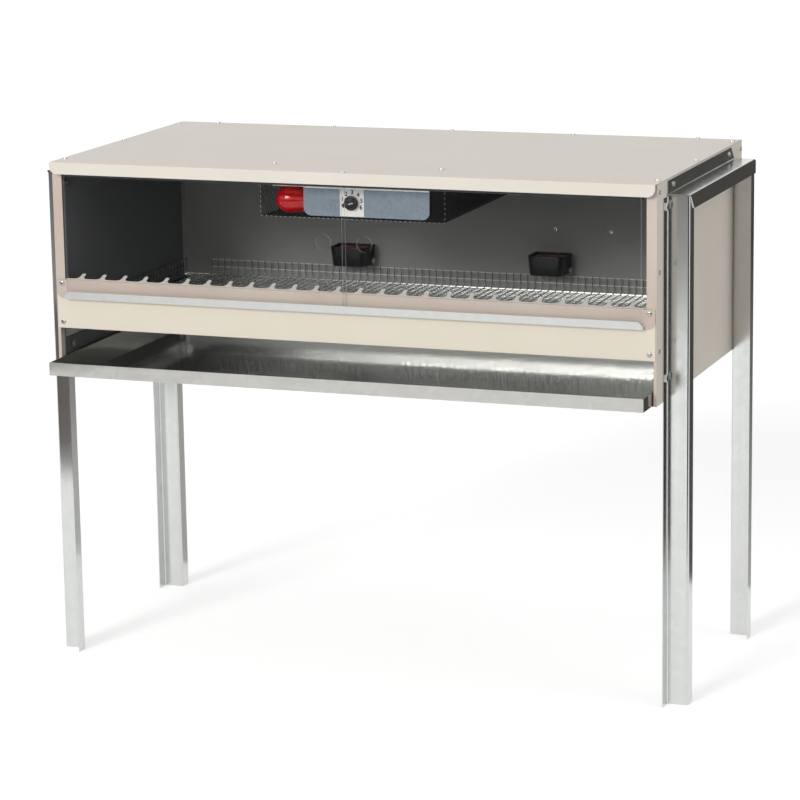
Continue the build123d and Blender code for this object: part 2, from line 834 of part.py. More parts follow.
def heating_element():
    """Tubular element, one hairpin lying flat above the guard."""
    radius = element_spread / 2
    start = element_near - element_tail
    left = Line((-radius, start, element_height), (-radius, element_far, element_height))
    turn = ThreePointArc(
        (-radius, element_far, element_height),
        (0, element_far + radius, element_height),
        (radius, element_far, element_height),
    )
    right = Line((radius, element_far, element_height), (radius, start, element_height))
    path = Wire([left.edge(), turn.edge(), right.edge()])
    profile = Plane(origin=path @ 0, z_dir=path % 0) * Circle(element_tube / 2)
    return sweep(profile, path)


def element_carrier(y):
    """Cross strip under the guard rails with two tongues that hold the element."""
    reach = guard_half - guard_sheet - sheet
    under = ceiling - 2 * sheet
    strip = block(-reach, reach, y, y + carrier_width, under, under + sheet)
    low = element_height - element_tube
    for side in (-1, 1):
        middle = side * element_spread / 2
        strip += block(middle - carrier_tongue / 2, middle + carrier_tongue / 2, y, y + sheet, low, under)
    seats = [(side * element_spread / 2, y, element_height) for side in (-1, 1)]
    return strip - holes(seats, (0, 1, 0), element_tube + 2 * element_play, 2 * sheet)


# Drinkers
cup_back = back_inner
paddle_axis_y = cup_back - cup_wall - paddle_setback
paddle_axis_z = cup_rim - paddle_below_rim


def drinker_cup(x):
    """Open black cup on the back wall, with holes for its inlet, pin and drain plug."""
    near = cup_back - cup_depth
    body = block(x - cup_width / 2, x + cup_width / 2, near, cup_back, cup_base, cup_rim)
    front_edges = body.edges().filter_by(Axis.Z).group_by(Axis.Y)[0]
    body = fillet(front_edges, cup_radius)
    inside = block(
        x - cup_width / 2 + cup_wall,
        x + cup_width / 2 - cup_wall,
        near + cup_wall,
        cup_back - cup_wall,
        cup_base + cup_wall,
        cup_rim + cup_wall,
    )
    inner_edges = inside.edges().filter_by(Axis.Z).group_by(Axis.Y)[0]
    body -= fillet(inner_edges, cup_radius - cup_wall)
    body -= holes([(x, cup_back, inlet_height)], (0, 1, 0), inlet_diameter + 2 * inlet_play, 2 * cup_wall)
    pin_half = cup_width / 2 - cup_wall + paddle_pin_hold
    body -= rod(
        paddle_pin + 2 * paddle_pin_play,
        (x - pin_half, paddle_axis_y, paddle_axis_z),
        (x + pin_half, paddle_axis_y, paddle_axis_z),
    )
    drain = (x + cup_width / 2, cup_back - plug_setback, cup_base + plug_above_cup_base)
    return body - holes([drain], (1, 0, 0), plug_diameter + 2 * inlet_play, 2 * cup_wall)


def drinker_paddle(x):
    """Red paddle that a chick presses down to let water in."""
    half = paddle_width / 2
    barrel = rod(
        paddle_barrel, (x - half, paddle_axis_y, paddle_axis_z), (x + half, paddle_axis_y, paddle_axis_z)
    )
    flap = block(
        x - half,
        x + half,
        paddle_axis_y - paddle_length,
        paddle_axis_y,
        paddle_axis_z + paddle_barrel / 2 - paddle_thickness,
        paddle_axis_z + paddle_barrel / 2,
    )
    bore = paddle_pin + 2 * paddle_pin_play
    axis = [(x, paddle_axis_y, paddle_axis_z)]
    return barrel + flap - holes(axis, (1, 0, 0), bore, paddle_width)


def drinker_pin(x):
    """Steel pin through the paddle, held in the cup's sides."""
    half = cup_width / 2 - cup_wall + paddle_pin_hold
    return rod(paddle_pin, (x - half, paddle_axis_y, paddle_axis_z), (x + half, paddle_axis_y, paddle_axis_z))


def drinker_inlet(x):
    """Brass water inlet through the cup and the back wall, with a plain hose tail."""
    inner_face = cup_back - cup_wall
    head = rod(inlet_head, (x, inner_face - inlet_head_depth, inlet_height), (x, inner_face, inlet_height))
    shoulder = back + inlet_shoulder
    thread = rod(inlet_diameter, (x, inner_face, inlet_height), (x, shoulder, inlet_height))
    tail = rod(hose_tail, (x, shoulder, inlet_height), (x, shoulder + hose_tail_length, inlet_height))
    return head + thread + tail


def inlet_nut(x):
    """Nut that clamps the inlet behind the back wall."""
    nut = hexagon(inlet_nut_flats, (x, back, inlet_height), (x, back + inlet_nut_height, inlet_height))
    bore = inlet_diameter + 2 * screw_play
    return nut - holes([(x, back, inlet_height)], (0, 1, 0), bore, 2 * inlet_nut_height)


def drain_plug(x):
    """White plug low in the cup's right side."""
    y = cup_back - plug_setback
    z = cup_base + plug_above_cup_base
    side = x + cup_width / 2
    return rod(plug_head, (side, y, z), (side + plug_head_height, y, z)) + rod(
        plug_diameter, (side - cup_wall, y, z), (side, y, z)
    )


# Cable gland
def cable_gland():
    """Gland body outside the back wall, its domed cap closed by the seal."""
    x, y, z = gland_seat
    body = rod(gland_thread, (x, y - sheet - gland_lock_nut, z), (x, y, z))
    body += hexagon(gland_flats, (x, y, z), (x, y + gland_hex, z))
    end = y + gland_hex + gland_dome_length
    dome = rod(2 * gland_dome, (x, y + gland_hex, z), (x, end, z))
    rim = dome.edges().filter_by(GeomType.CIRCLE).sort_by(Axis.Y)[-1]
    return body + fillet(rim, gland_dome_round)


def gland_nut():
    """Lock nut of the gland, inside the back wall."""
    x, y, z = gland_seat
    nut = hexagon(gland_flats, (x, y - sheet - gland_lock_nut, z), (x, y - sheet, z))
    return nut - holes([gland_seat], (0, 1, 0), gland_thread + 2 * screw_play, 2 * gland_lock_nut)


# Fasteners
def screws(seats, outward, grip):
    """A group of like screws."""
    return [screw(seat, outward, grip) for seat in seats]


def both_sides(seats, outward, grip):
    """A group of like screws on the right wall and the same on the left."""
    right = screws(seats, outward, grip)
    return right + [mirrored(one) for one in right]


def leg_bolt(seat):
    """Bolt through a leg's flange and the wall, with its head outside."""
    grip = leg_sheet + sheet + bolt_nut_height
    bolt = rod(bolt_shank, along(seat, (1, 0, 0), -grip), seat)
    return bolt + hexagon(bolt_head, seat, along(seat, (1, 0, 0), bolt_head_height))


def leg_nut(seat):
    """Nut of a leg bolt, inside the wall."""
    face = along(seat, (1, 0, 0), -leg_sheet - sheet)
    nut = hexagon(bolt_nut_flats, along(face, (1, 0, 0), -bolt_nut_height), face)
    return nut - holes([face], (1, 0, 0), bolt_hole, 2 * bolt_nut_height)


def rivet(seat):
    """Rivet of a floor support, its head inside and its tail flush with the wall."""
    head = rod(screw_head, along(seat, (-1, 0, 0), screw_head_height), seat)
    return head + rod(screw_shank, seat, along(seat, (1, 0, 0), 2 * sheet))


bolts = [leg_bolt(seat) for seat in leg_seats]
nuts = [leg_nut(seat) for seat in leg_seats]
rivets = [rivet(seat) for seat in rivet_seats]
top_screws = screws(side_seats + back_seats, (0, 0, 1), 2 * sheet)
top_screws += screws(track_seat, (0, 0, 1), sheet + upper_track_base)
top_screws += screws(heater_seats, (0, 0, 1), 3 * sheet)
front_screws = screws(kick_high_seats, (0, -1, 0), 3 * sheet)
front_screws += screws(kick_low_seats, (0, -1, 0), 2 * sheet)
wall_screws = both_sides(wall_seats, (1, 0, 0), 2 * sheet)
wall_screws += both_sides(rail_seats, (1, 0, 0), leg_sheet + sheet)
wall_screws += screws(back_wall_seats, (0, -1, 0), sheet)

pieces = {
    "top_panel": top_panel(),
    "right_wall": side_wall(),
    "left_wall": mirrored(side_wall()),
    "back_wall": back_wall(),
    "right_front_post": front_post(),
    "left_front_post": mirrored(front_post()),
    "kickboard": kickboard(),
    "sill_rail": sill_rail(),
    "feeding_comb": feeding_comb(),
    "feed_trough": feed_trough(),
    "lower_door_track": lower_track(),
    "upper_door_track": Compound(upper_track()),
    "left_door": door(-1),
    "right_door": door(1),
    "right_front_leg": leg(),
    "left_front_leg": mirrored(leg()),
    "right_back_leg": back_leg(),
    "left_back_leg": mirrored(back_leg()),
    "right_top_rail": top_rail(),
    "left_top_rail": mirrored(top_rail()),
    "dropping_tray": tray(),
    "floor_mesh_long_wires": Compound(mesh_long_wires()),
    "floor_mesh_cross_wires": Compound(mesh_cross_wires()),
    "floor_mesh_back_edge": mesh_back_edge(),
    "floor_mesh_side_edges": Compound([mesh_side_edge(), mirrored(mesh_side_edge())]),
    "right_floor_support": floor_support(),
    "left_floor_support": mirrored(floor_support()),
    "heater_guard_bottom": guard_bottom_net(),
    "heater_guard_right": guard_side_net(),
    "heater_guard_left": mirrored(guard_side_net()),
    "right_guard_rail": guard_rail(),
    "left_guard_rail": mirrored(guard_rail()),
    "control_bracket": control_bracket(),
    "dial_plate": dial_plate(),
    "thermostat": thermostat(),
    "thermostat_nut": bush_nut(),
    "thermostat_shaft": thermostat_shaft(),
    "thermostat_knob": knob(),
    "lamp_bulb": bulb(),
    "lamp_cap": bulb_cap(),
    "lamp_holder": lamp_holder(),
    "heating_element": heating_element(),
    "element_front_carrier": element_carrier(element_near),
    "element_rear_carrier": element_carrier(element_far),
    "left_drinker_cup": drinker_cup(cup_seats[0]),
    "right_drinker_cup": drinker_cup(cup_seats[1]),
    "left_drinker_paddle": drinker_paddle(cup_seats[0]),
    "right_drinker_paddle": drinker_paddle(cup_seats[1]),
    "drinker_pins": Compound([drinker_pin(x) for x in cup_seats]),
    "drinker_inlets": Compound([drinker_inlet(x) for x in cup_seats]),
    "drinker_inlet_nuts": Compound([inlet_nut(x) for x in cup_seats]),
    "drinker_drain_plugs": Compound([drain_plug(x) for x in cup_seats]),
    "cable_gland": cable_gland(),
    "cable_gland_nut": gland_nut(),
    "top_screws": Compound(top_screws),
    "front_screws": Compound(front_screws),
    "wall_screws": Compound(wall_screws),
    "support_rivets": Compound(rivets + [mirrored(one) for one in rivets]),
    "leg_bolts": Compound(bolts + [mirrored(one) for one in bolts]),
    "leg_nuts": Compound(nuts + [mirrored(one) for one in nuts]),
}

os.makedirs("parts", exist_ok=True)
for name, shape in pieces.items():
    export_step(shape, f"parts/{name}.step")
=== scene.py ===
import logging
import math
from dataclasses import dataclass, replace
from enum import Enum
from functools import cache

import bmesh
import bpy
from bmesh.types import BMEdge, BMesh, BMVert
from bpy.types import Material, Node, NodeSocket, NodeTree
from mathutils import Matrix, Vector


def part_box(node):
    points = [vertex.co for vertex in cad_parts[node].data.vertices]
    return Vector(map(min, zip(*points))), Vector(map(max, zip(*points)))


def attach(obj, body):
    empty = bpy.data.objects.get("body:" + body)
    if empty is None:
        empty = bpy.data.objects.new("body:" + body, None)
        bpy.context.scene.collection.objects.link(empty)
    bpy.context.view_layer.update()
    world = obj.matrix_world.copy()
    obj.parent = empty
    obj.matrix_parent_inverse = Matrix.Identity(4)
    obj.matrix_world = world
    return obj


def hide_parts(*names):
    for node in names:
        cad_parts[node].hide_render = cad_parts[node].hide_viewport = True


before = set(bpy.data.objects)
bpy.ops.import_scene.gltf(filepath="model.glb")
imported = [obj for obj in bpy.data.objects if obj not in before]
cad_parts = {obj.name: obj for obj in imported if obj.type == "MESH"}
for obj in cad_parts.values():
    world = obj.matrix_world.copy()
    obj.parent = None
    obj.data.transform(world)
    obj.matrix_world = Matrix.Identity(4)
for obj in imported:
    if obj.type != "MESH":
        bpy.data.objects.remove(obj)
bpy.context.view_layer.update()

LOG = logging.getLogger("brooder")
MM = 0.001
MERGE = 0.001 * MM
RIGHT = Vector((1, 0, 0))
BACKWARD = Vector((0, 1, 0))
FORWARD = Vector((0, -1, 0))
UP = Vector((0, 0, 1))
LOOKS_UP = 0.9  # least height of the normal of a face that counts as a top
RIGHT_ANGLE = math.pi / 2
CABINET = "cabinet"
Profile = list[tuple[float, float]]


def linear(hex_code: str) -> tuple[float, float, float, float]:
    """Turn an sRGB hex colour into linear light.

    Args:
        hex_code: Six hex digits, two for each of red, green and blue.

    Returns:
        Linear red, green, blue and a full alpha.
    """
    shares = [int(hex_code[i:i + 2], 16) / 255 for i in (0, 2, 4)]
    red, green, blue = [s / 12.92 if s <= 0.04045 else ((s + 0.055) / 1.055) ** 2.4 for s in shares]
    return red, green, blue, 1.0


def per_metre(size_mm: float) -> float:
    """Texture scale at which one pattern cell is as long as a size in millimetres."""
    return 1 / (size_mm * MM)


def plug(entry: NodeSocket, value: object) -> None:
    """Link a node's input to a socket, or set it to a constant.

    Args:
        entry: The input.
        value: A socket of another node, or a constant.
    """
    if isinstance(value, NodeSocket):
        entry.id_data.links.new(value, entry)
    else:
        entry.default_value = value


def add_node(tree: NodeTree, kind: str, inputs: dict | None = None, **settings: object) -> Node:
    """Add a shader node with its settings, socket values and links.

    Args:
        tree: The node tree that takes the node.
        kind: Blender's name of the node's type.
        inputs: Values or linked sockets by the name or number of the input.
        **settings: Properties of the node itself.

    Returns:
        The new node.
    """
    node = tree.nodes.new(kind)
    for name, value in settings.items():
        setattr(node, name, value)
    for key, value in (inputs or {}).items():
        plug(node.inputs[key], value)
    return node


class Graph:
    """A node tree, with short ways to lay out the nodes that most finishes use."""

    def __init__(self, tree: NodeTree) -> None:
        """Take the tree that is laid out."""
        self.tree = tree

    def calculate(self, operation: str, *values: object) -> NodeSocket:
        """Result of an operation on one or two values."""
        return add_node(self.tree, "ShaderNodeMath", dict(enumerate(values)), operation=operation).outputs[0]

    def ramp(self, value: NodeSocket, start: float, end: float, low: float = 0.0, high: float = 1.0
             ) -> NodeSocket:
        """Spread the values from start to end over those from low to high."""
        spans = {0: value, 1: start, 2: end, 3: low, 4: high}
        return add_node(self.tree, "ShaderNodeMapRange", spans).outputs[0]

    def mix(self, share: object, first: object, second: object) -> NodeSocket:
        """Mix two plain values."""
        return add_node(self.tree, "ShaderNodeMix", {0: share, 2: first, 3: second}).outputs[0]

    def blend(self, share: NodeSocket, first: NodeSocket | str, second: NodeSocket | str) -> NodeSocket:
        """Mix two colours, each a socket or a hex code."""
        pair = {6 + i: linear(c) if isinstance(c, str) else c for i, c in enumerate((first, second))}
        return add_node(self.tree, "ShaderNodeMix", {0: share, **pair}, data_type="RGBA").outputs[2]

    def background_share(self) -> NodeSocket:
        """Tell rays that look at the background from those that carry light.

        Returns:
            A socket that is 1 for rays from the camera, a reflection or a clear pane.
        """
        rays = add_node(self.tree, "ShaderNodeLightPath").outputs
        shown = self.calculate("MAXIMUM", rays["Is Camera Ray"], rays["Is Glossy Ray"])
        return self.calculate("MAXIMUM", shown, rays["Is Transmission Ray"])


class Shading(Graph):
    """A material in the making, on the standard shader."""

    def __init__(self, name: str, **sockets: object) -> None:
        """Start the material.

        Args:
            name: The finish's name.
            **sockets: Constant shader inputs, with spaces written as underscores.
        """
        self.material = bpy.data.materials.new(name)
        self.material.use_nodes = True
        super().__init__(self.material.node_tree)
        self.place = add_node(self.tree, "ShaderNodeTexCoord").outputs["Object"]
        self.feed(**sockets)

    def feed(self, **sockets: object) -> None:
        """Set or link shader inputs, with the spaces of their names written as underscores."""
        for name, value in sockets.items():
            plug(self.tree.nodes["Principled BSDF"].inputs[name.replace("_", " ")], value)

    def axis(self, name: str) -> NodeSocket:
        """One of the Object coordinates, in metres."""
        return add_node(self.tree, "ShaderNodeSeparateXYZ", {0: self.place}).outputs[name]

    def beyond(self, axis: str, limit_mm: float, above: bool) -> NodeSocket:
        """A socket that is 1 beyond a plane and 0 before it."""
        return self.calculate("GREATER_THAN" if above else "LESS_THAN", self.axis(axis), limit_mm * MM)

    def noise(self, cell_mm: float, detail: float, place: NodeSocket | None = None) -> NodeSocket:
        """Clouds of a size, laid out by the Object coordinates or by a stretched copy of them."""
        inputs = {"Vector": place or self.place, "Scale": per_metre(cell_mm), "Detail": detail}
        return add_node(self.tree, "ShaderNodeTexNoise", inputs).outputs[0]

    def relief(self, height: NodeSocket, strength: float, depth_mm: float) -> None:
        """Let a fine pattern stand out in the shading."""
        inputs = {"Strength": strength, "Distance": depth_mm * MM, "Height": height}
        self.feed(Normal=add_node(self.tree, "ShaderNodeBump", inputs).outputs[0])


@dataclass(frozen=True)
class Zone:
    """The part of a piece beyond a plane of the shared frame, where its surface has another colour."""

    axis: str
    limit_mm: float
    above: bool
    colour: str

    def share(self, shading: Shading) -> NodeSocket:
        """A socket that is 1 in the zone and 0 elsewhere."""
        return shading.beyond(self.axis, self.limit_mm, self.above)


class Outside(Enum):
    """Which faces of a coated sheet carry the outer coat."""

    ALL = "all faces"
    SIDE_WALLS = "faces far from the middle, left and right"
    BACK_WALL = "faces far to the back"
    LID = "faces at the top and on the front lip"
    FRONT = "faces far to the front"


@dataclass(frozen=True)
class CoatedSteel:
    """Coil coated sheet steel: a rolled on, semi gloss film with a faint orange peel.

    The eye sees an even colour with soft highlights, the grey backing coat on the inside, and very
    slight clouding where the film is thicker. Below a level the inside may be left as bare zinc.
    """

    name: str
    outer: str
    inner: str
    cloud: str
    outside: Outside = Outside.ALL
    limit_mm: float = 0.0
    lip_mm: float = 0.0
    roughness: float = 0.42
    peel_mm: float = 1.6
    peel_strength: float = 0.06
    peel_depth_mm: float = 0.2
    cloud_mm: float = 120.0
    cloud_range: tuple[float, float] = (0.35, 0.75)
    bare: Zone | None = None
    zinc_roughness: float = 0.16
    dull_mm: float = 544.0
    dull_fade_mm: float = 5.0

    def outer_share(self, shading: Shading) -> NodeSocket:
        """Find which faces are outside.

        Args:
            shading: The material in the making.

        Returns:
            A socket that is 1 on outer faces and 0 on inner ones.
        """
        if self.outside is Outside.SIDE_WALLS:
            from_middle = shading.calculate("ABSOLUTE", shading.axis("X"))
            return shading.calculate("GREATER_THAN", from_middle, self.limit_mm * MM)
        if self.outside is Outside.LID:
            lip = shading.beyond("Y", self.lip_mm, False)
            return shading.calculate("MAXIMUM", shading.beyond("Z", self.limit_mm, True), lip)
        return shading.beyond("Y", self.limit_mm, self.outside is not Outside.FRONT)

    def bare_foot(self, shading: Shading, mask: NodeSocket, coat: NodeSocket) -> NodeSocket:
        """Leave the lowest strip of the inside uncoated, so that it mirrors like plain zinc.

        Args:
            shading: The material in the making.
            mask: Socket that is 1 on outer faces.
            coat: The coat's colour.

        Returns:
            The colour with the zinc strip in it, which is dull at its own foot.
        """
        bare = shading.calculate("GREATER_THAN", self.bare.share(shading), mask)
        bright = shading.ramp(shading.axis("Z"), (self.dull_mm - self.dull_fade_mm) * MM, self.dull_mm * MM)
        shading.feed(Metallic=shading.calculate("MULTIPLY", bare, bright),
                     Roughness=shading.ramp(bare, 0.0, 1.0, self.roughness, self.zinc_roughness))
        return shading.blend(bare, coat, self.bare.colour)

    @cache
    def material(self) -> Material:
        """Make the coat's material.

        Returns:
            The material.
        """
        shading = Shading(self.name, Roughness=self.roughness)
        clouds = shading.ramp(shading.noise(self.cloud_mm, detail=3.0), *self.cloud_range)
        coat = shading.blend(clouds, self.outer, self.cloud)
        if self.outside is not Outside.ALL:
            mask = self.outer_share(shading)
            coat = shading.blend(mask, self.inner, coat)
            if self.bare:
                coat = self.bare_foot(shading, mask, coat)
        shading.feed(Base_Color=coat)
        shading.relief(shading.noise(self.peel_mm, detail=1.0), self.peel_strength, self.peel_depth_mm)
        return shading.material


class Grain(Enum):
    """Direction in which a sheet was rolled, as the squeeze of the pattern along each axis."""

    X = (0.02, 1.0, 1.0)
    Y = (1.0, 0.02, 1.0)
    Z = (1.0, 1.0, 0.02)


@dataclass(frozen=True)
class ZincCoat:
    """Hot dip galvanised steel: flat zinc crystals over faint rolling streaks.

    The crystals catch the light each at its own brightness, and the streaks stretch a highlight
    along the rolling direction.
    """

    name: str
    bright: str
    dull: str
    grain: Grain
    spangle_mm: float = 9.0
    spangle_share: float = 0.2
    streak_mm: float = 4.0
    tone_range: tuple[float, float] = (0.3, 0.7)
    metallic: float = 0.8
    roughness: tuple[float, float] = (0.28, 0.42)
    relief: float = 0.008
    relief_depth_mm: float = 0.1
    painted_highlight: Zone | None = None

    @cache
    def material(self) -> Material:
        """Make the zinc's material.

        Returns:
            The material.
        """
        shading = Shading(self.name, Metallic=self.metallic)
        cells = {"Vector": shading.place, "Scale": per_metre(self.spangle_mm), "Randomness": 1.0}
        crystals = add_node(shading.tree, "ShaderNodeTexVoronoi", cells).outputs["Color"]
        spangle = add_node(shading.tree, "ShaderNodeSeparateColor", {0: crystals}).outputs[0]
        squeeze = {"Vector": shading.place, "Scale": self.grain.value}
        stretched = add_node(shading.tree, "ShaderNodeMapping", squeeze).outputs[0]
        streaks = shading.noise(self.streak_mm, 2.0, stretched)
        tone = shading.ramp(shading.mix(self.spangle_share, streaks, spangle), *self.tone_range)
        colour = shading.blend(tone, self.bright, self.dull)
        # A painted highlight: near white colour in the zone where a fold catches the light.
        if self.painted_highlight:
            colour = shading.blend(self.painted_highlight.share(shading), colour, self.painted_highlight.colour)
        shading.feed(Base_Color=colour, Roughness=shading.ramp(tone, 0.0, 1.0, *self.roughness))
        shading.relief(streaks, self.relief, self.relief_depth_mm)
        return shading.material


@dataclass(frozen=True)
class PlainMetal:
    """Small turned, drawn or pressed metal with a light, patchy film on it.

    The film darkens the colour in soft patches and breaks up the reflection. A matt, pale zone is a
    painted highlight where edges or wires catch the light.
    """

    name: str
    clean: str
    film: str
    roughness: tuple[float, float]
    patch_mm: float = 6.0
    metallic: float = 1.0
    painted_highlight_zone: Zone | None = None
    patch_range: tuple[float, float] = (0.35, 0.7)

    @cache
    def material(self) -> Material:
        """Make the metal's material.

        Returns:
            The material.
        """
        shading = Shading(self.name, Metallic=self.metallic)
        patches = shading.ramp(shading.noise(self.patch_mm, detail=4.0), *self.patch_range)
        colour = shading.blend(patches, self.clean, self.film)
        # A pale, matt zone: a painted highlight where edges or wires catch the light.
        if self.painted_highlight_zone:
            zone = self.painted_highlight_zone.share(shading)
            colour = shading.blend(zone, colour, self.painted_highlight_zone.colour)
            shading.feed(Metallic=shading.ramp(zone, 0.0, 1.0, self.metallic, 0.0))
        shading.feed(Base_Color=colour, Roughness=shading.ramp(patches, 0.0, 1.0, *self.roughness))
        return shading.material


@dataclass(frozen=True)
class Moulding:
    """Moulded plastic, glazed ceramic or printed ink: a skin with a fine grain in it.

    The grain softens the highlight and gives the colour a slight mottle.
    """

    name: str
    colour: str
    mottle: str
    roughness: float
    grain_mm: float = 0.6
    relief: float = 0.15
    coat: float = 0.0
    gloss: float = 0.5
    coat_roughness: float = 0.05
    relief_depth_mm: float = 0.05

    @cache
    def material(self) -> Material:
        """Make the moulding's material.

        Returns:
            The material.
        """
        shading = Shading(self.name, Roughness=self.roughness, Coat_Weight=self.coat,
                          Coat_Roughness=self.coat_roughness, Specular_IOR_Level=self.gloss)
        grain = shading.noise(self.grain_mm, detail=3.0)
        shading.feed(Base_Color=shading.blend(grain, self.colour, self.mottle))
        shading.relief(grain, self.relief, self.relief_depth_mm)
        return shading.material


@dataclass(frozen=True)
class ClearSheet:
    """Extruded clear acrylic: almost unseen face on, with sawn edges that gather light."""

    name: str
    tint: str
    edge: str
    face_cover: float
    edge_cover: float
    haze_mm: float = 40.0
    haze_range: tuple[float, float] = (0.3, 0.8)
    haze_spread: float = 0.2
    roughness: float = 0.04
    refraction: float = 1.49

    @cache
    def material(self) -> Material:
        """Make the acrylic's material.

        Returns:
            The material.
        """
        shading = Shading(self.name, Roughness=self.roughness, IOR=self.refraction)
        normal = add_node(shading.tree, "ShaderNodeNewGeometry").outputs["True Normal"]
        depth = add_node(shading.tree, "ShaderNodeSeparateXYZ", {0: normal}).outputs["Y"]
        flat = shading.calculate("ABSOLUTE", depth)
        thin, thick = (self.face_cover * (1 + spread) for spread in (-self.haze_spread, self.haze_spread))
        haze = shading.ramp(shading.noise(self.haze_mm, detail=2.0), *self.haze_range, thin, thick)
        shading.feed(Base_Color=shading.blend(flat, self.edge, self.tint),
                     Alpha=shading.mix(flat, self.edge_cover, haze))
        return shading.material


Finish = CoatedSteel | ZincCoat | PlainMetal | Moulding | ClearSheet

# The wall's bare foot below the mesh floor, and three painted highlights: along the bracket's top fold,
# on the guard's cut front edge and on the level wires along the floor's bent up back edge.
WALL_FOOT = Zone("Z", 558.3, False, "F2F2EE")
PLATE_TOP_HIGHLIGHT = Zone("Z", 793.6, True, "FAFAF8")
GUARD_FRONT_HIGHLIGHT = Zone("Y", -209.3, False, "E6E8E4")
FLOOR_REAR_HIGHLIGHT = Zone("Y", 263.2, True, "F2F2EE")

# All sheets share one grey backing coat, but its grey is set per sheet: lighter on the back wall as painted
# light, darker on the side walls and the lid as painted shade.
CREAM = CoatedSteel("cream_coated_kickboard", "E4DCCB", "6E6F70", "E1D8C6", Outside.FRONT)
# The comb's cream is paler than the kickboard's, though both are one cream sheet: painted light on the tabs,
# which sit in partial shade inside the opening.
COMB_COAT_AND_LIGHT = CoatedSteel("cream_comb_coat_and_painted_light", "F4EEE2", "8C8C8A", "F0E9DB")
LID = CoatedSteel("cream_coated_lid", "E5DED3", "5E5F60", "E2DACE", Outside.LID)
WALLS = CoatedSteel("cream_coated_walls", "E4DCD0", "66676A", "DFD6C9", Outside.SIDE_WALLS)
BACK = CoatedSteel("cream_coated_back", "E4DCD0", "A9AAA5", "DFD6C9", Outside.BACK_WALL, bare=WALL_FOOT)
# The sill rail and the posts are a darker, pinker beige than the cream sheets: partly their own coat, partly
# painted shade where the frame sits back behind the lip and the panes.
SILL_COAT_AND_SHADE = CoatedSteel("beige_sill_coat_and_painted_shade", "CCBEB2", "6E6F70", "C6B4A8", Outside.FRONT, cloud_mm=170.0)
POSTS_COAT_AND_SHADE = CoatedSteel("beige_posts_coat_and_painted_shade", "D1C3B7", "8C8C8A", "CAB6AA", cloud_mm=170.0)
ZINC_UPRIGHT = ZincCoat("galvanised_legs", "D4D6D4", "CFD1CF", Grain.Z, spangle_share=0.3, spangle_mm=14.0,
                        streak_mm=9.0, metallic=1.0, roughness=(0.15, 0.19))
ZINC_RAIL = ZincCoat("galvanised_rails", "CBCECB", "C4C7C4", Grain.Y, spangle_share=0.3, metallic=1.0,
                     roughness=(0.16, 0.21))
ZINC_SHEET = ZincCoat("galvanised_sheet", "BCBBB6", "B6B5B0", Grain.X, spangle_share=0.4, spangle_mm=12.0,
                      metallic=0.9, roughness=(0.06, 0.09), relief=0.003)
# The bracket's plate carries a painted highlight along its top fold.
ZINC_PLATE = ZincCoat("galvanised_plate", "8F9CA6", "808D99", Grain.X, spangle_mm=4.0, spangle_share=0.85,
                      metallic=0.6, relief=0.02, painted_highlight=PLATE_TOP_HIGHLIGHT)
# The level wires along the floor's bent up back edge are pale and matt: a painted highlight. The standing
# wires keep the grey.
WIRE = PlainMetal("galvanised_wire", "A8AAA8", "949694", (0.2, 0.3), 4.0, painted_highlight_zone=FLOOR_REAR_HIGHLIGHT)
# The guard's cut front edge is pale and matt: a painted highlight where its strands catch the light.
GUARD = PlainMetal("expanded_metal", "3C3E3D", "2A2C2B", (0.35, 0.5), 3.0, 0.8, GUARD_FRONT_HIGHLIGHT)
SATIN = PlainMetal("satin_aluminium", "DADCD9", "D0D2CF", (0.32, 0.42), 25.0, 0.5)
BRIGHT = PlainMetal("bright_zinc_plate", "D2D3D0", "A6A7A4", (0.18, 0.32), 2.0)
BRASS = PlainMetal("turned_brass", "C09A55", "8F6F38", (0.25, 0.42), 3.0)
SHEATH = PlainMetal("heat_tinted_sheath", "6E6861", "453F39", (0.38, 0.6), 9.0)
BLACK = Moulding("black_abs", "131316", "1A1A1E", 0.42)
RED = Moulding("red_polypropylene", "B3201D", "A51A18", 0.35)
WHITE = Moulding("white_polystyrene", "EFEFEB", "E7E7E2", 0.4, relief=0.05)
INK = Moulding("black_print", "1A1A1A", "222222", 0.6, relief=0.02)
RED_GLASS = Moulding("red_lamp_glass", "C41118", "B20D14", 0.7, 8.0, 0.0, 1.0, 0.0)
PORCELAIN = Moulding("glazed_porcelain", "E8E3D8", "DDD7CA", 0.2, 3.0, 0.02, 0.4)
ACRYLIC = ClearSheet("clear_acrylic", "3A4040", "C8CECA", 0.02, 0.6)


def dress(finish: Finish, *nodes: str) -> None:
    """Give carried over pieces their finish.

    Args:
        finish: What the pieces are made of.
        *nodes: The pieces' names in the frame.
    """
    material = finish.material()
    for node in nodes:
        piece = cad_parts[node]
        if not piece.material_slots:
            piece.data.materials.append(material)
        for holder in piece.material_slots:
            holder.link = "OBJECT"
            holder.material = material
        LOG.info("dressed %s in %s", node, material.name)


def add_object(name: str, data: bpy.types.ID) -> bpy.types.Object:
    """Add an object to the scene.

    Args:
        name: The object's name.
        data: Its mesh, lamp or camera.

    Returns:
        The new object.
    """
    thing = bpy.data.objects.new(name, data)
    bpy.context.scene.collection.objects.link(thing)
    return thing


def add_mesh(name: str, bm: BMesh, material: Material) -> bpy.types.Object:
    """Turn a finished bmesh into an object of the scene.

    Args:
        name: The object's name.
        bm: The shape, which is freed.
        material: The finish.

    Returns:
        The new object.
    """
    mesh = bpy.data.meshes.new(name)
    bm.to_mesh(mesh)
    bm.free()
    mesh.materials.append(material)
    return add_object(name, mesh)


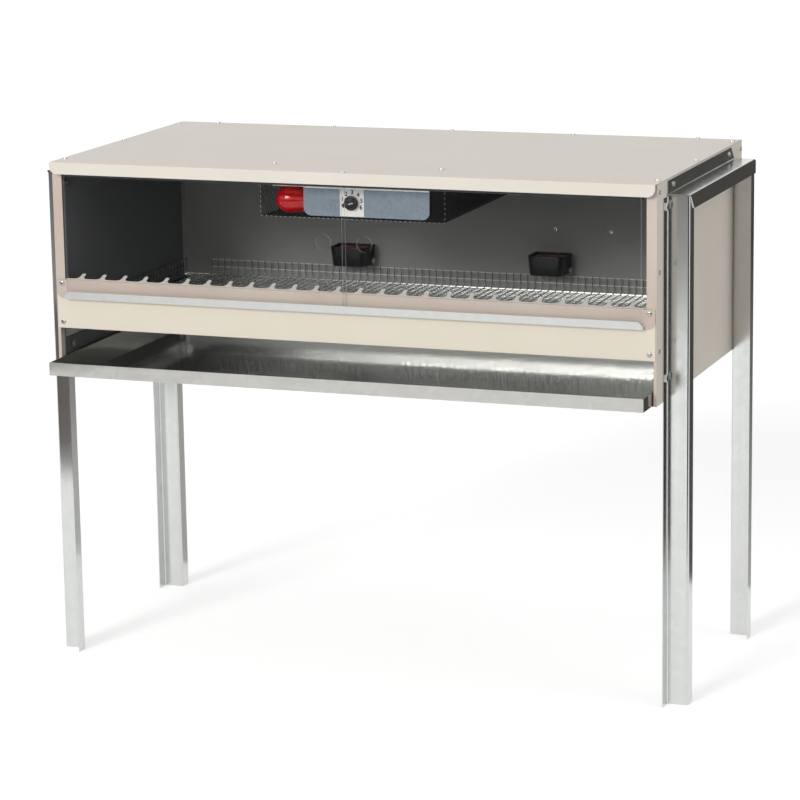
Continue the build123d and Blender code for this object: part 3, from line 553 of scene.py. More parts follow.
def add_piece(name: str, bm: BMesh, finish: Finish, replaced: tuple[str, ...] = (),
              crease_deg: float = 30.0, body: str = CABINET) -> None:
    """Turn a finished bmesh into a piece that rides on a body.

    Args:
        name: The piece's name.
        bm: The shape, in the part's own place. It is freed.
        finish: What the piece is made of.
        replaced: Nodes that the piece stands for.
        crease_deg: Angle from which an edge stays sharp.
        body: The body that carries the piece.
    """
    piece = add_mesh(name, bm, finish.material())
    piece.data.shade_smooth()
    piece.data.set_sharp_from_angle(angle=math.radians(crease_deg))
    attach(piece, body)
    if replaced:
        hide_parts(*replaced)
    LOG.info("built %s, %d faces, on %s", name, len(piece.data.polygons), body)


def close(bm: BMesh) -> None:
    """Merge doubles and turn all faces outwards."""
    bmesh.ops.remove_doubles(bm, verts=bm.verts, dist=MERGE)
    bmesh.ops.recalc_face_normals(bm, faces=bm.faces)


def soften(bm: BMesh, edges: list[BMEdge], rounding_mm: float, segments: int) -> None:
    """Round edges off to a radius."""
    bmesh.ops.bevel(bm, geom=edges, offset=rounding_mm * MM, segments=segments, profile=0.5, affect="EDGES",
                    material=-1)


def grow(bm: BMesh, edges: list[BMEdge]) -> tuple[list[BMVert], list[BMEdge]]:
    """Extrude a loop of edges, without moving the new loop yet.

    Args:
        bm: The mesh that grows.
        edges: The loop.

    Returns:
        Points and edges of the new loop.
    """
    grown = bmesh.ops.extrude_edge_only(bm, edges=edges)["geom"]
    points = [g for g in grown if isinstance(g, BMVert)]
    return points, [g for g in grown if isinstance(g, BMEdge) and all(v in points for v in g.verts)]


def arc(centre: tuple[float, float], radius: float, start: float, end: float, steps: int) -> Profile:
    """Points of an arc in a turning profile.

    Args:
        centre: Radius and height of the arc's middle.
        radius: The arc's own radius.
        start: First angle in degrees, from the outward direction.
        end: Last angle in degrees.
        steps: Number of stretches.

    Returns:
        Radius and height of each point.
    """
    angles = [math.radians(start + (end - start) * i / steps) for i in range(steps + 1)]
    return [(centre[0] + radius * math.cos(a), centre[1] + radius * math.sin(a)) for a in angles]


def turn(bm: BMesh, profile: Profile, place: Matrix, steps: int = 48) -> None:
    """Turn a profile about its height axis and put it in place.

    Args:
        bm: The mesh that takes the turned shape.
        profile: Radius and height of each point, in millimetres, from axis to axis.
        place: Where the shape goes.
        steps: Number of sides.
    """
    part = bmesh.new()
    points = [part.verts.new((radius * MM, 0, height * MM)) for radius, height in profile]
    lines = [part.edges.new(pair) for pair in zip(points, points[1:])]
    bmesh.ops.spin(part, geom=points + lines, cent=(0, 0, 0), axis=UP, angle=4 * RIGHT_ANGLE, steps=steps,
                   use_merge=True)
    close(part)
    join(bm, part, place)


def join(bm: BMesh, part: BMesh, place: Matrix) -> None:
    """Move a part into place and add it to a mesh.

    Args:
        bm: The mesh that grows.
        part: The part, which is freed.
        place: Where the part goes.
    """
    bmesh.ops.transform(part, matrix=place, verts=part.verts)
    holder = bpy.data.meshes.new("holder")
    part.to_mesh(holder)
    part.free()
    bm.from_mesh(holder)
    bpy.data.meshes.remove(holder)


def block(size: Vector) -> BMesh:
    """A plain block about the origin.

    Args:
        size: Its lengths in metres.

    Returns:
        The block's mesh.
    """
    bm = bmesh.new()
    bmesh.ops.create_cube(bm, size=1.0)
    bmesh.ops.scale(bm, vec=size, verts=bm.verts)
    return bm


def rounded_bar(size_mm: tuple[float, float, float], rounding_mm: float, segments: int = 3) -> BMesh:
    """A bar with rounded edges about the origin.

    Args:
        size_mm: Its three lengths.
        rounding_mm: Radius of the edges.
        segments: Steps of the rounding.

    Returns:
        The bar's mesh.
    """
    bm = block(Vector(size_mm) * MM)
    soften(bm, bm.edges, rounding_mm, segments)
    return bm


def hexagon(corner_mm: float, height_mm: float) -> BMesh:
    """A six sided prism that stands on the origin.

    Args:
        corner_mm: Distance of its corners from its axis.
        height_mm: Its height.

    Returns:
        The prism's mesh.
    """
    bm = bmesh.new()
    corner, tall = corner_mm * MM, height_mm * MM
    bmesh.ops.create_cone(bm, cap_ends=True, segments=6, radius1=corner, radius2=corner, depth=tall)
    bmesh.ops.translate(bm, vec=(0, 0, tall / 2), verts=bm.verts)
    return bm


def facing(direction: Vector, at: Vector) -> Matrix:
    """A place at a point, whose height axis points along a direction."""
    return Matrix.Translation(at) @ UP.rotation_difference(direction).to_matrix().to_4x4()


def solids_of(node: str) -> list[tuple[Vector, Vector]]:
    """Boxes of the separate solids in a node.

    Args:
        node: The node's name in the frame.

    Returns:
        Lowest and highest corner of each solid.
    """
    bm = bmesh.new()
    bm.from_mesh(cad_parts[node].data)
    bmesh.ops.remove_doubles(bm, verts=bm.verts, dist=MERGE)
    left = set(bm.verts)
    boxes = []
    while left:
        front = [left.pop()]
        seen = []
        while front:
            point = front.pop()
            seen.append(point.co.copy())
            fresh = {edge.other_vert(point) for edge in point.link_edges} & left
            left -= fresh
            front += fresh
        low, high = (Vector(pick(p[i] for p in seen) for i in range(3)) for pick in (min, max))
        boxes.append((low, high))
    bm.free()
    return sorted(boxes, key=lambda box: tuple(box[0]))


@dataclass
class Shell:
    """The coated cabinet: lid, walls, posts, kickboard, sill rail and comb, with the feed trough."""

    skin_mm: float = 0.5
    lip_mm: float = 1.5

    def build(self) -> None:
        """Coat each cabinet sheet, cream where it looks out; posts and sill get painted shade, the comb
        painted light.
        """
        low, high = (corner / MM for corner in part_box("top_panel"))
        dress(replace(LID, limit_mm=high.z - self.skin_mm, lip_mm=low.y + self.lip_mm), "top_panel")
        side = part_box("right_wall")[1].x / MM
        dress(replace(WALLS, limit_mm=side - self.skin_mm), "left_wall", "right_wall")
        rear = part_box("back_wall")[1].y / MM
        dress(replace(BACK, limit_mm=rear - self.skin_mm), "back_wall")
        for piece, coat in (("kickboard", CREAM), ("sill_rail", SILL_COAT_AND_SHADE)):
            dress(replace(coat, limit_mm=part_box(piece)[0].y / MM + self.skin_mm), piece)
        dress(COMB_COAT_AND_LIGHT, "feeding_comb")
        dress(POSTS_COAT_AND_SHADE, "left_front_post", "right_front_post")
        dress(ZINC_SHEET, "feed_trough")


@dataclass
class Doors:
    """The two sliding panes and their tracks."""

    panes: tuple[str, ...] = ("left_door", "right_door")

    def build(self) -> None:
        """Give the panes their acrylic and the tracks their finishes."""
        dress(ACRYLIC, *self.panes)
        dress(SATIN, "lower_door_track")
        dress(BLACK, "upper_door_track")


@dataclass
class Stand:
    """Legs, top rails, floor supports and the dropping tray."""

    sides: tuple[str, ...] = ("left", "right")

    def build(self) -> None:
        """Give the galvanised pieces their zinc, along the way each was rolled."""
        for side in self.sides:
            dress(ZINC_UPRIGHT, f"{side}_front_leg", f"{side}_back_leg")
            dress(ZINC_RAIL, f"{side}_top_rail", f"{side}_floor_support")
        dress(ZINC_SHEET, "dropping_tray")


@dataclass
class WireFloor:
    """Half inch welded mesh floor, bent up along the back and the sides."""

    pitch_mm: float = 12.7
    wire_mm: float = 1.8
    bend_mm: float = 5.0
    bend_steps: int = 3
    sides: int = 8
    left_notch_mm: float = 45.0
    corner_gap_mm: float = 8.0
    crease_deg: float = 60.0

    def bent_wire(self, bm: BMesh, start: Vector, heading: Vector, *runs: tuple[float, Vector | None]
                  ) -> None:
        """Draw one wire with quarter bends.

        Args:
            bm: The mesh that takes the wire.
            start: The wire's first end.
            heading: Direction of the first run.
            *runs: Length of each run, and the direction taken after it, or None at the end.
        """
        part = bmesh.new()
        bend = self.bend_mm * MM
        bmesh.ops.create_circle(part, cap_ends=True, segments=self.sides, radius=self.wire_mm / 2 * MM)
        bmesh.ops.transform(part, matrix=facing(heading, start), verts=part.verts)
        edges = list(part.edges)
        at = start.copy()
        for length, after in runs:
            points, edges = grow(part, edges)
            bmesh.ops.translate(part, vec=heading * length, verts=points)
            at += heading * length
            if after is None:
                bmesh.ops.edgeloop_fill(part, edges=edges)
                continue
            centre = at + after * bend
            turned = bmesh.ops.spin(part, geom=points + edges, cent=centre, axis=heading.cross(after),
                                    angle=RIGHT_ANGLE, steps=self.bend_steps)["geom_last"]
            edges = [g for g in turned if isinstance(g, BMEdge)]
            at = centre + heading * bend
            heading = after
        close(part)
        join(bm, part, Matrix.Identity(4))

    def positions(self, low: float, high: float) -> list[float]:
        """Evenly spread wire places between two ends, about a pitch apart."""
        count = round((high - low) / (self.pitch_mm * MM))
        return [low + (high - low) * i / count for i in range(count + 1)]

    def build(self) -> None:
        """Weld the floor from long wires, cross wires and the wires of its bent up edges."""
        low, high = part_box("floor_mesh_long_wires")
        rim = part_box("floor_mesh_back_edge")[1].z
        side_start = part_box("floor_mesh_side_edges")[0].y
        radius = self.wire_mm / 2 * MM
        bend = self.bend_mm * MM
        lower = low.z + radius
        upper = lower + 2 * radius
        wall = high.x - radius
        rear = high.y - 3 * radius
        notch = low.x + self.left_notch_mm * MM
        corner = self.corner_gap_mm * MM
        rise = rim - lower - bend
        bm = bmesh.new()
        for y in self.positions(low.y + radius, high.y - radius - corner):
            if y > side_start:
                across = 2 * (wall - bend)
                self.bent_wire(bm, Vector((-wall, y, rim)), -UP, (rise, RIGHT), (across, UP), (rise, None))
            else:
                self.bent_wire(bm, Vector((-wall, y, lower)), RIGHT, (2 * wall, None))
        for x in self.positions(low.x + corner, high.x - corner):
            runs = [(rear - bend - low.y, UP), (rim - upper - bend, None)]
            if x < notch:
                runs = [(high.y - corner - low.y, None)]
            self.bent_wire(bm, Vector((x, low.y, upper)), BACKWARD, *runs)
        for level in (rim - radius, rim - radius - self.pitch_mm * MM):
            start = Vector((notch, rear + 2 * radius, level))
            self.bent_wire(bm, start, RIGHT, (high.x - corner - notch, None))
            for side in (-1, 1):
                start = Vector((side * (wall - 2 * radius), side_start, level))
                self.bent_wire(bm, start, BACKWARD, (high.y - corner - side_start, None))
        replaced = ("floor_mesh_long_wires", "floor_mesh_cross_wires", "floor_mesh_back_edge",
                    "floor_mesh_side_edges")
        add_piece("wire_floor", bm, WIRE, replaced, self.crease_deg)


@dataclass
class HeaterGuard:
    """Expanded metal tray under the ceiling, folded up at both sides, with the heating element."""

    across_mm: float = 8.0
    along_mm: float = 9.0
    strand_mm: float = 1.1
    flatness: float = 0.8
    spare_cells: int = 2

    def net(self, width: float, length: float) -> BMesh:
        """Cut diamonds in a flat sheet.

        Args:
            width: The sheet's width in metres.
            length: The sheet's length in metres.

        Returns:
            The net's mesh, about the origin.
        """
        across, along = self.across_mm * MM, self.along_mm * MM
        count = math.ceil(width / across + length / along) + self.spare_cells
        bm = bmesh.new()
        bmesh.ops.create_grid(bm, x_segments=count, y_segments=count, size=count / 2)
        bmesh.ops.rotate(bm, cent=(0, 0, 0), matrix=Matrix.Rotation(RIGHT_ANGLE / 2, 3, "Z"), verts=bm.verts)
        bmesh.ops.scale(bm, vec=(across / math.sqrt(2), along / math.sqrt(2), 1), verts=bm.verts)
        limit_x, limit_y = (width - across) / 2, (length - along) / 2
        middles = {face: face.calc_center_median() for face in bm.faces}
        beyond = [face for face, at in middles.items() if abs(at.x) > limit_x or abs(at.y) > limit_y]
        bmesh.ops.delete(bm, geom=beyond, context="FACES")
        bmesh.ops.wireframe(bm, faces=bm.faces, thickness=self.strand_mm * MM, use_replace=True,
                            use_boundary=True, use_even_offset=True)
        bmesh.ops.scale(bm, vec=(1, 1, self.flatness), verts=bm.verts)
        return bm

    def build(self) -> None:
        """Fold the net's sides up and dress what hangs with it."""
        low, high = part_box("heater_guard_bottom")
        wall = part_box("heater_guard_right")[1].z - low.z
        half = (high.x - low.x) / 2
        bm = self.net(2 * (half + wall), high.y - low.y)
        for side in (-1, 1):
            flap = [v for v in bm.verts if side * v.co.x > half]
            fold = Matrix.Rotation(-side * RIGHT_ANGLE, 3, "Y")
            bmesh.ops.rotate(bm, cent=(side * half, 0, 0), matrix=fold, verts=flap)
        middle = Vector((0, (low.y + high.y) / 2, low.z + self.strand_mm / 2 * MM))
        bmesh.ops.translate(bm, vec=middle, verts=bm.verts)
        replaced = ("heater_guard_bottom", "heater_guard_right", "heater_guard_left")
        add_piece("heater_guard", bm, GUARD, replaced)
        dress(ZINC_RAIL, "right_guard_rail", "left_guard_rail", "element_front_carrier",
              "element_rear_carrier")
        dress(SHEATH, "heating_element")


@dataclass
class ControlPanel:
    """Hanging bracket with the thermostat, its dial and its knob."""

    pointer_deg: float = 75.0
    skirt_mm: float = 11.4
    foot_round_mm: float = 0.5
    shoulder_mm: float = 1.0
    shoulder_height_mm: float = 2.2
    waist_mm: float = 9.4
    waist_height_mm: float = 3.6
    crown_round_mm: float = 1.2
    crown_inset_mm: float = 1.4
    base_share: float = 8 / 15
    grip_width_mm: float = 6.0
    grip_round_mm: float = 1.2
    line_mm: tuple[float, float] = (1.2, 0.5)
    line_start_mm: float = 0.7
    line_inset_mm: float = 2.7
    line_proud_mm: float = 0.05
    line_round_mm: float = 0.15
    first_deg: float = -72.0
    step_deg: float = 37.4
    numbers: int = 6
    number_mm: float = 9.2
    bold_mm: float = 0.28
    number_radius_mm: float = 16.6
    tick_radius_mm: float = 12.6
    tick_mm: float = 1.1
    tick_width_mm: float = 0.45
    tick_round_mm: float = 0.02
    print_mm: float = 0.06
    crease_deg: float = 35.0

    def build(self) -> None:
        """Dress the bracket and make the knob, its pointer and the dial's print."""
        dress(ZINC_PLATE, "control_bracket")
        dress(WHITE, "dial_plate")
        dress(PORCELAIN, "thermostat")
        dress(BRIGHT, "thermostat_nut", "thermostat_shaft")
        self.build_knob()
        self.build_ticks()
        self.build_numbers()

    def build_knob(self) -> None:
        """Turn the knob's skirt and set the grip and its white line on it."""
        low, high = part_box("thermostat_knob")
        depth = (high.y - low.y) / MM
        base = depth * self.base_share
        middle = (low + high) / 2
        place = facing(FORWARD, Vector((middle.x, high.y, middle.z)))
        place = place @ Matrix.Rotation(-math.radians(self.pointer_deg), 4, "Z")
        bm = bmesh.new()
        skirt, foot, crown = self.skirt_mm, self.foot_round_mm, self.crown_inset_mm
        profile = [(0, 0), (skirt - foot, 0)] + arc((skirt - foot, foot), foot, -90, 0, 3)
        profile += arc((skirt - self.shoulder_mm, self.shoulder_height_mm), self.shoulder_mm, 0, 80, 4)
        profile += [(self.waist_mm, self.waist_height_mm)]
        profile += arc((self.waist_mm - crown, base - crown), self.crown_round_mm, 10, 90, 4) + [(0, base)]
        turn(bm, profile, place)
        tall = depth - base / 2
        grip_length = 2 * (skirt - self.grip_round_mm)
        grip = rounded_bar((self.grip_width_mm, grip_length, tall), self.grip_round_mm)
        join(bm, grip, place @ Matrix.Translation((0, 0, (depth - tall / 2) * MM)))
        add_piece("thermostat_knob_moulding", bm, BLACK, ("thermostat_knob",),
                  self.crease_deg, "knob")
        width, thick = self.line_mm
        start, end = self.line_start_mm, skirt - self.line_inset_mm
        line = rounded_bar((width, end - start, thick), self.line_round_mm, 1)
        lift = Vector((0, (start + end) / 2, depth + self.line_proud_mm - thick / 2)) * MM
        mark = bmesh.new()
        join(mark, line, place @ Matrix.Translation(lift))
        add_piece("thermostat_pointer", mark, WHITE, (), self.crease_deg, "knob")

    def on_dial(self, degrees: float, radius_mm: float) -> Vector:
        """A point of the dial's face.

        Args:
            degrees: Angle clockwise from the top.
            radius_mm: Distance from the knob's axis.

        Returns:
            The point in metres.
        """
        low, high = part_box("thermostat_knob")
        angle = math.radians(degrees)
        point = (low + high) / 2 + Vector((math.sin(angle), 0, math.cos(angle))) * radius_mm * MM
        point.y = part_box("dial_plate")[0].y
        return point

    def build_ticks(self) -> None:
        """Print a tick at each number of the dial and halfway between."""
        ticks = bmesh.new()
        for i in range(2 * self.numbers - 1):
            degrees = self.first_deg + i * self.step_deg / 2
            bar = rounded_bar((self.tick_width_mm, 2 * self.print_mm, self.tick_mm), self.tick_round_mm, 1)
            turned = Matrix.Rotation(math.radians(degrees), 4, "Y")
            join(ticks, bar, Matrix.Translation(self.on_dial(degrees, self.tick_radius_mm)) @ turned)
        add_piece("dial_ticks", ticks, INK, crease_deg=self.crease_deg)

    def build_numbers(self) -> None:
        """Print plain numbers on the dial."""
        digits = bmesh.new()
        for i in range(self.numbers):
            text = bpy.data.curves.new("digit", "FONT")
            text.body = str(i + 1)
            text.size = self.number_mm * MM
            text.align_x = text.align_y = "CENTER"
            text.extrude = self.print_mm * MM
            text.offset = self.bold_mm * MM
            holder = bpy.data.objects.new("digit", text)
            mesh = bpy.data.meshes.new_from_object(holder)
            at = self.on_dial(self.first_deg + i * self.step_deg, self.number_radius_mm)
            mesh.transform(Matrix.Translation(at) @ Matrix.Rotation(RIGHT_ANGLE, 4, "X"))
            digits.from_mesh(mesh)
            bpy.data.objects.remove(holder)
            bpy.data.curves.remove(text)
            bpy.data.meshes.remove(mesh)
        add_piece("dial_numbers", digits, INK, crease_deg=self.crease_deg)


@dataclass
class Lamp:
    """Red round lamp with its cap and holder."""

    neck_share: float = 0.78
    flare_mm: float = 0.4
    flare_height_mm: float = 2.0
    rim_mm: float = 1.6
    crease_deg: float = 50.0

    def build(self) -> None:
        """Turn the glass, a ball on a cone that touches it, and dress the cap and the holder."""
        low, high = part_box("lamp_bulb")
        ball = (high.z - low.z) / 2 / MM
        neck = ball * self.neck_share
        reach = (high.x - low.x) / MM - ball
        touch = math.atan2(neck, reach) + math.acos(ball / math.hypot(reach, neck))
        middle = (low + high) / 2
        middle.x = low.x + ball * MM
        rim = self.rim_mm
        profile = arc((0, 0), ball, -90, 90 - math.degrees(touch), 20)
        profile += [(neck + self.flare_mm, reach - self.flare_height_mm)]
        profile += arc((neck - rim, reach - rim), rim, 0, 90, 4) + [(0, reach)]
        bm = bmesh.new()
        turn(bm, profile, facing(RIGHT, middle))
        add_piece("lamp_glass", bm, RED_GLASS, ("lamp_bulb",), self.crease_deg)
        dress(BRASS, "lamp_cap")
        dress(PORCELAIN, "lamp_holder")


@dataclass
class Drinkers:
    """Two black drinker cups on the back wall, with red paddles and white drain plugs."""

    wall_mm: float = 2.0
    taper: float = 0.93
    corner_mm: float = 9.0
    corner_steps: int = 6
    floor_round_mm: float = 3.0
    floor_steps: int = 3
    slack_mm: float = 0.01

    def build(self) -> None:
        """Build both cups and dress what belongs to them."""
        for side in ("left", "right"):
            self.build_cup(side)
            dress(RED, f"{side}_drinker_paddle")
        dress(BRIGHT, "drinker_pins")
        dress(BRASS, "drinker_inlet_nuts")
        dress(WHITE, "drinker_drain_plugs")

    def build_cup(self, side: str) -> None:
        """Mould one cup: a tapered box with round front corners, open at the top.

        Args:
            side: Which of the two cups.
        """
        node = f"{side}_drinker_cup"
        low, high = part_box(node)
        middle = (low + high) / 2
        bm = block(high - low)
        bmesh.ops.translate(bm, vec=middle, verts=bm.verts)
        floor = [v for v in bm.verts if v.co.z < middle.z]
        back_middle = Matrix.Translation((-middle.x, -high.y, 0))
        bmesh.ops.scale(bm, vec=(self.taper, self.taper, 1), space=back_middle, verts=floor)
        corners = [e for e in bm.edges if all(v.co.y < middle.y for v in e.verts)
                   and abs(e.verts[0].co.z - e.verts[1].co.z) > self.corner_mm * MM]
        soften(bm, corners, self.corner_mm, self.corner_steps)
        low_edges = [e for e in bm.edges if all(v.co.z < low.z + self.slack_mm * MM for v in e.verts)
                     and any(v.co.y < high.y - self.slack_mm * MM for v in e.verts)]
        soften(bm, low_edges, self.floor_round_mm, self.floor_steps)
        top = [f for f in bm.faces if f.normal.z > LOOKS_UP]
        bmesh.ops.delete(bm, geom=top, context="FACES_ONLY")
        close(bm)
        bmesh.ops.solidify(bm, geom=list(bm.faces), thickness=self.wall_mm * MM)
        add_piece(f"{side}_cup_moulding", bm, BLACK, (node,))


@dataclass
class HoseTails:
    """Brass water inlets of the drinkers, with a flange inside and a barbed tail behind."""

    flange_mm: float = 3.0
    flange_chamfer_mm: float = 0.6
    stem_mm: float = 5.0
    chamfer_mm: float = 0.4
    tail_mm: float = 15.0
    tail_gap_mm: float = 0.6
    barbs: int = 3
    barb_run_mm: float = 13.5
    barb_root_mm: float = 3.3
    barb_crest_mm: float = 4.0
    barb_end_mm: float = 3.4
    barb_rise_mm: float = 0.15
    tip_mm: tuple[float, float] = (3.2, 2.9)
    bore_mm: float = 2.0
    bore_depth_mm: float = 9.0
    steps: int = 32

    def profile(self, length: float, head: float) -> Profile:
        """Draw half the inlet's outline.

        Args:
            length: The inlet's length in millimetres.
            head: The flange's radius.

        Returns:
            Radius and height of each point.
        """
        tail = length - self.tail_mm
        bevel = self.chamfer_mm
        edge = self.flange_chamfer_mm
        stem = self.stem_mm
        points = [(0, 0), (head - edge, 0), (head, edge), (head, self.flange_mm), (stem, self.flange_mm),
                  (stem, tail - bevel), (stem - bevel, tail)]
        step = self.barb_run_mm / self.barbs
        for i in range(self.barbs):
            start = tail + self.tail_gap_mm + i * step
            points += [(self.barb_root_mm, start), (self.barb_crest_mm, start + self.barb_rise_mm),
                       (self.barb_end_mm, start + step - bevel)]
        bottom = length - self.bore_depth_mm
        points += [(self.tip_mm[0], length - bevel), (self.tip_mm[1], length)]
        return points + [(self.bore_mm, length), (self.bore_mm, bottom), (0, bottom)]

    def build(self) -> None:
        """Turn both inlets."""
        bm = bmesh.new()
        for low, high in solids_of("drinker_inlets"):
            middle = (low + high) / 2
            outline = self.profile((high.y - low.y) / MM, (high.x - low.x) / 2 / MM)
            turn(bm, outline, facing(BACKWARD, Vector((middle.x, low.y, middle.z))), self.steps)
        add_piece("drinker_hose_tails", bm, BRASS, ("drinker_inlets",))


class Head(Enum):
    """Kinds of fastener head."""

    PAN = "round head with a cross recess"
    HEX = "chamfered hexagon"


@dataclass
class Fasteners:
    """Screws, bolts, nuts and rivets."""

    head_mm: float = 8.0
    head_height_mm: float = 2.2
    dome: tuple[tuple[float, float], ...] = ((0.88, 0.25), (0.97, 0.55), (1.0, 0.9))
    crown_mm: float = 2.6
    crown_sides: int = 24
    arm_mm: float = 2.0
    slot_mm: float = 0.45
    recess_mm: float = 1.1
    recess_taper: float = 0.55
    screw_mm: float = 3.5
    hex_mm: float = 11.0
    hex_height_mm: float = 3.5
    hex_chamfer_mm: float = 0.7
    bolt_mm: float = 6.0
    tip_mm: float = 0.3
    shank_sides: int = 16
    shank_overlap_mm: float = 0.02
    lid_zone_mm: float = 6.0

    def pan_head(self) -> BMesh:
        """A pan head with a cross recess, seated on the origin.

        Returns:
            The head's mesh.
        """
        bm = bmesh.new()
        bmesh.ops.create_circle(bm, segments=self.crown_sides, radius=self.crown_mm * MM)
        ring = list(bm.edges)
        arm, half = self.arm_mm * MM, self.slot_mm * MM
        quarter = [(arm, -half), (arm, half), (half, half)]
        corners = [Matrix.Rotation(i * RIGHT_ANGLE, 2) @ Vector(p) for i in range(4) for p in quarter]
        points = [bm.verts.new((p.x, p.y, 0)) for p in corners]
        cross = [bm.edges.new(pair) for pair in zip(points, points[1:] + points[:1])]
        bmesh.ops.bridge_loops(bm, edges=ring + cross)
        deep, bottom = grow(bm, cross)
        bmesh.ops.translate(bm, vec=(0, 0, -self.recess_mm * MM), verts=deep)
        bmesh.ops.scale(bm, vec=(self.recess_taper, self.recess_taper, 1), verts=deep)
        bmesh.ops.edgeloop_fill(bm, edges=bottom)
        for share, drop in (*self.dome, (1.0, self.head_height_mm)):
            points, ring = grow(bm, ring)
            wider = self.head_mm / 2 * MM * share / points[0].co.xy.length
            bmesh.ops.scale(bm, vec=(wider, wider, 1), verts=points)
            for point in points:
                point.co.z = -drop * MM
        bmesh.ops.edgeloop_fill(bm, edges=ring)
        bmesh.ops.translate(bm, vec=(0, 0, self.head_height_mm * MM), verts=bm.verts)
        close(bm)
        return bm

    def hex_head(self) -> BMesh:
        """A chamfered hexagon head, seated on the origin.

        Returns:
            The head's mesh.
        """
        bm = hexagon(self.hex_mm / 2 / math.cos(math.pi / 6), self.hex_height_mm)
        upper = [e for e in bm.edges if all(v.co.z > self.hex_height_mm / 2 * MM for v in e.verts)]
        soften(bm, upper, self.hex_chamfer_mm, 2)
        return bm

    def outward(self, middle: Vector) -> Vector:
        """Direction in which a fastener's head looks.

        Args:
            middle: The fastener's middle.

        Returns:
            A unit vector.
        """
        wall_low, wall_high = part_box("right_wall")
        lid = wall_high.z - self.lid_zone_mm * MM
        if abs(middle.x) > wall_low.x and middle.z < lid and middle.y > wall_low.y:
            return Vector((math.copysign(1, middle.x), 0, 0))
        return UP if middle.z > lid else FORWARD

    def build_group(self, node: str, name: str, kind: Head) -> None:
        """Set a head and a shank at each fastener of a group.

        Args:
            node: The group's node.
            name: Name of the new piece.
            kind: Which head the fasteners have.
        """
        make, height, shank = {
            Head.PAN: (self.pan_head, self.head_height_mm * MM, self.screw_mm / 2),
            Head.HEX: (self.hex_head, self.hex_height_mm * MM, self.bolt_mm / 2)}[kind]
        bm = bmesh.new()
        for low, high in solids_of(node):
            middle = (low + high) / 2
            way = self.outward(middle)
            reach = abs((high - low).dot(way))
            place = facing(way, middle + way * (reach / 2 - height))
            join(bm, make(), place)
            tail = (reach - height) / MM
            profile = [(0, -tail), (shank - self.tip_mm, -tail), (shank, self.tip_mm - tail)]
            turn(bm, profile + [(shank, self.shank_overlap_mm)], place, self.shank_sides)
        add_piece(name, bm, BRIGHT, (node,))

    def build(self) -> None:
        """Build the visible fasteners and dress the rest."""
        self.build_group("top_screws", "lid_screws", Head.PAN)
        self.build_group("front_screws", "kickboard_screws", Head.PAN)
        self.build_group("wall_screws", "side_screws", Head.PAN)
        self.build_group("leg_bolts", "leg_hex_bolts", Head.HEX)
        dress(BRIGHT, "support_rivets", "leg_nuts")


@dataclass
class CableGland:
    """Black gland in the back wall, where the mains lead comes in."""

    hex_height_mm: float = 7.0
    hex_round_mm: float = 0.6
    sunk_mm: float = 0.5
    dome_mm: float = 8.0
    dome_round_mm: float = 3.0
    mouth_mm: float = 3.4
    bore_mm: float = 3.0
    bore_depth_mm: float = 1.5
    thread_mm: float = 6.0
    chamfer_mm: float = 0.4

    def build(self) -> None:
        """Turn the gland's dome and thread, and set them on a chamfered hexagon."""
        low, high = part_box("cable_gland")
        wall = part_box("back_wall")[1].y
        middle = (low + high) / 2
        place = facing(BACKWARD, Vector((middle.x, wall, middle.z)))
        length = (high.y - wall) / MM
        inner = (wall - low.y) / MM
        bm = hexagon((high.z - low.z) / 2 / MM, self.hex_height_mm)
        soften(bm, bm.edges, self.hex_round_mm, 2)
        bmesh.ops.transform(bm, matrix=place, verts=bm.verts)
        seat = self.hex_height_mm - self.sunk_mm
        bottom = length - self.bore_depth_mm
        rounding = self.dome_round_mm
        dome = [(0, seat), (self.dome_mm, seat)]
        dome += arc((self.dome_mm - rounding, length - rounding), rounding, 0, 90, 5)
        turn(bm, dome + [(self.mouth_mm, length), (self.bore_mm, bottom), (0, bottom)], place)
        thread, bevel = self.thread_mm, self.chamfer_mm
        turn(bm, [(0, -inner), (thread - bevel, -inner), (thread, bevel - inner), (thread, self.sunk_mm),
                  (0, self.sunk_mm)], place)
        add_piece("gland_moulding", bm, BLACK, ("cable_gland",))
        dress(BLACK, "cable_gland_nut")


@dataclass(frozen=True)
class Card:
    """A felt card that stands or hangs near the object, where only shiny surfaces see it."""

    name: str
    at_m: tuple[float, float]
    size_m: tuple[float, float]
    turned_deg: float = 0.0
    fade_m: float = 0.01
    lift_m: float = 0.0
    tone: str = "4A4643"
    pale: str = "D8D6D3"
    roughness: float = 0.9

    def felt(self) -> Material:
        """Make the felt, which fades to pale towards the card's lower edge.

        Returns:
            The card's material.
        """
        shading = Shading("card_felt", Roughness=self.roughness)
        share = shading.ramp(shading.axis("Z"), self.lift_m, self.lift_m + self.fade_m)
        shading.feed(Base_Color=shading.blend(share, self.pale, self.tone))
        return shading.material

    def build(self) -> None:
        """Put the card up, unseen by the camera and without a shadow."""
        bm = bmesh.new()
        bmesh.ops.create_grid(bm, x_segments=1, y_segments=1, size=0.5)
        bmesh.ops.scale(bm, vec=(*self.size_m, 1), verts=bm.verts)
        turned = Matrix.Rotation(math.radians(self.turned_deg), 4, "Z")
        bmesh.ops.transform(bm, matrix=turned @ Matrix.Rotation(RIGHT_ANGLE, 4, "X"), verts=bm.verts)
        bmesh.ops.translate(bm, vec=(*self.at_m, self.lift_m + self.size_m[1] / 2), verts=bm.verts)
        card = add_mesh(self.name, bm, self.felt())
        card.visible_camera = card.visible_diffuse = False
        card.visible_shadow = card.visible_transmission = False


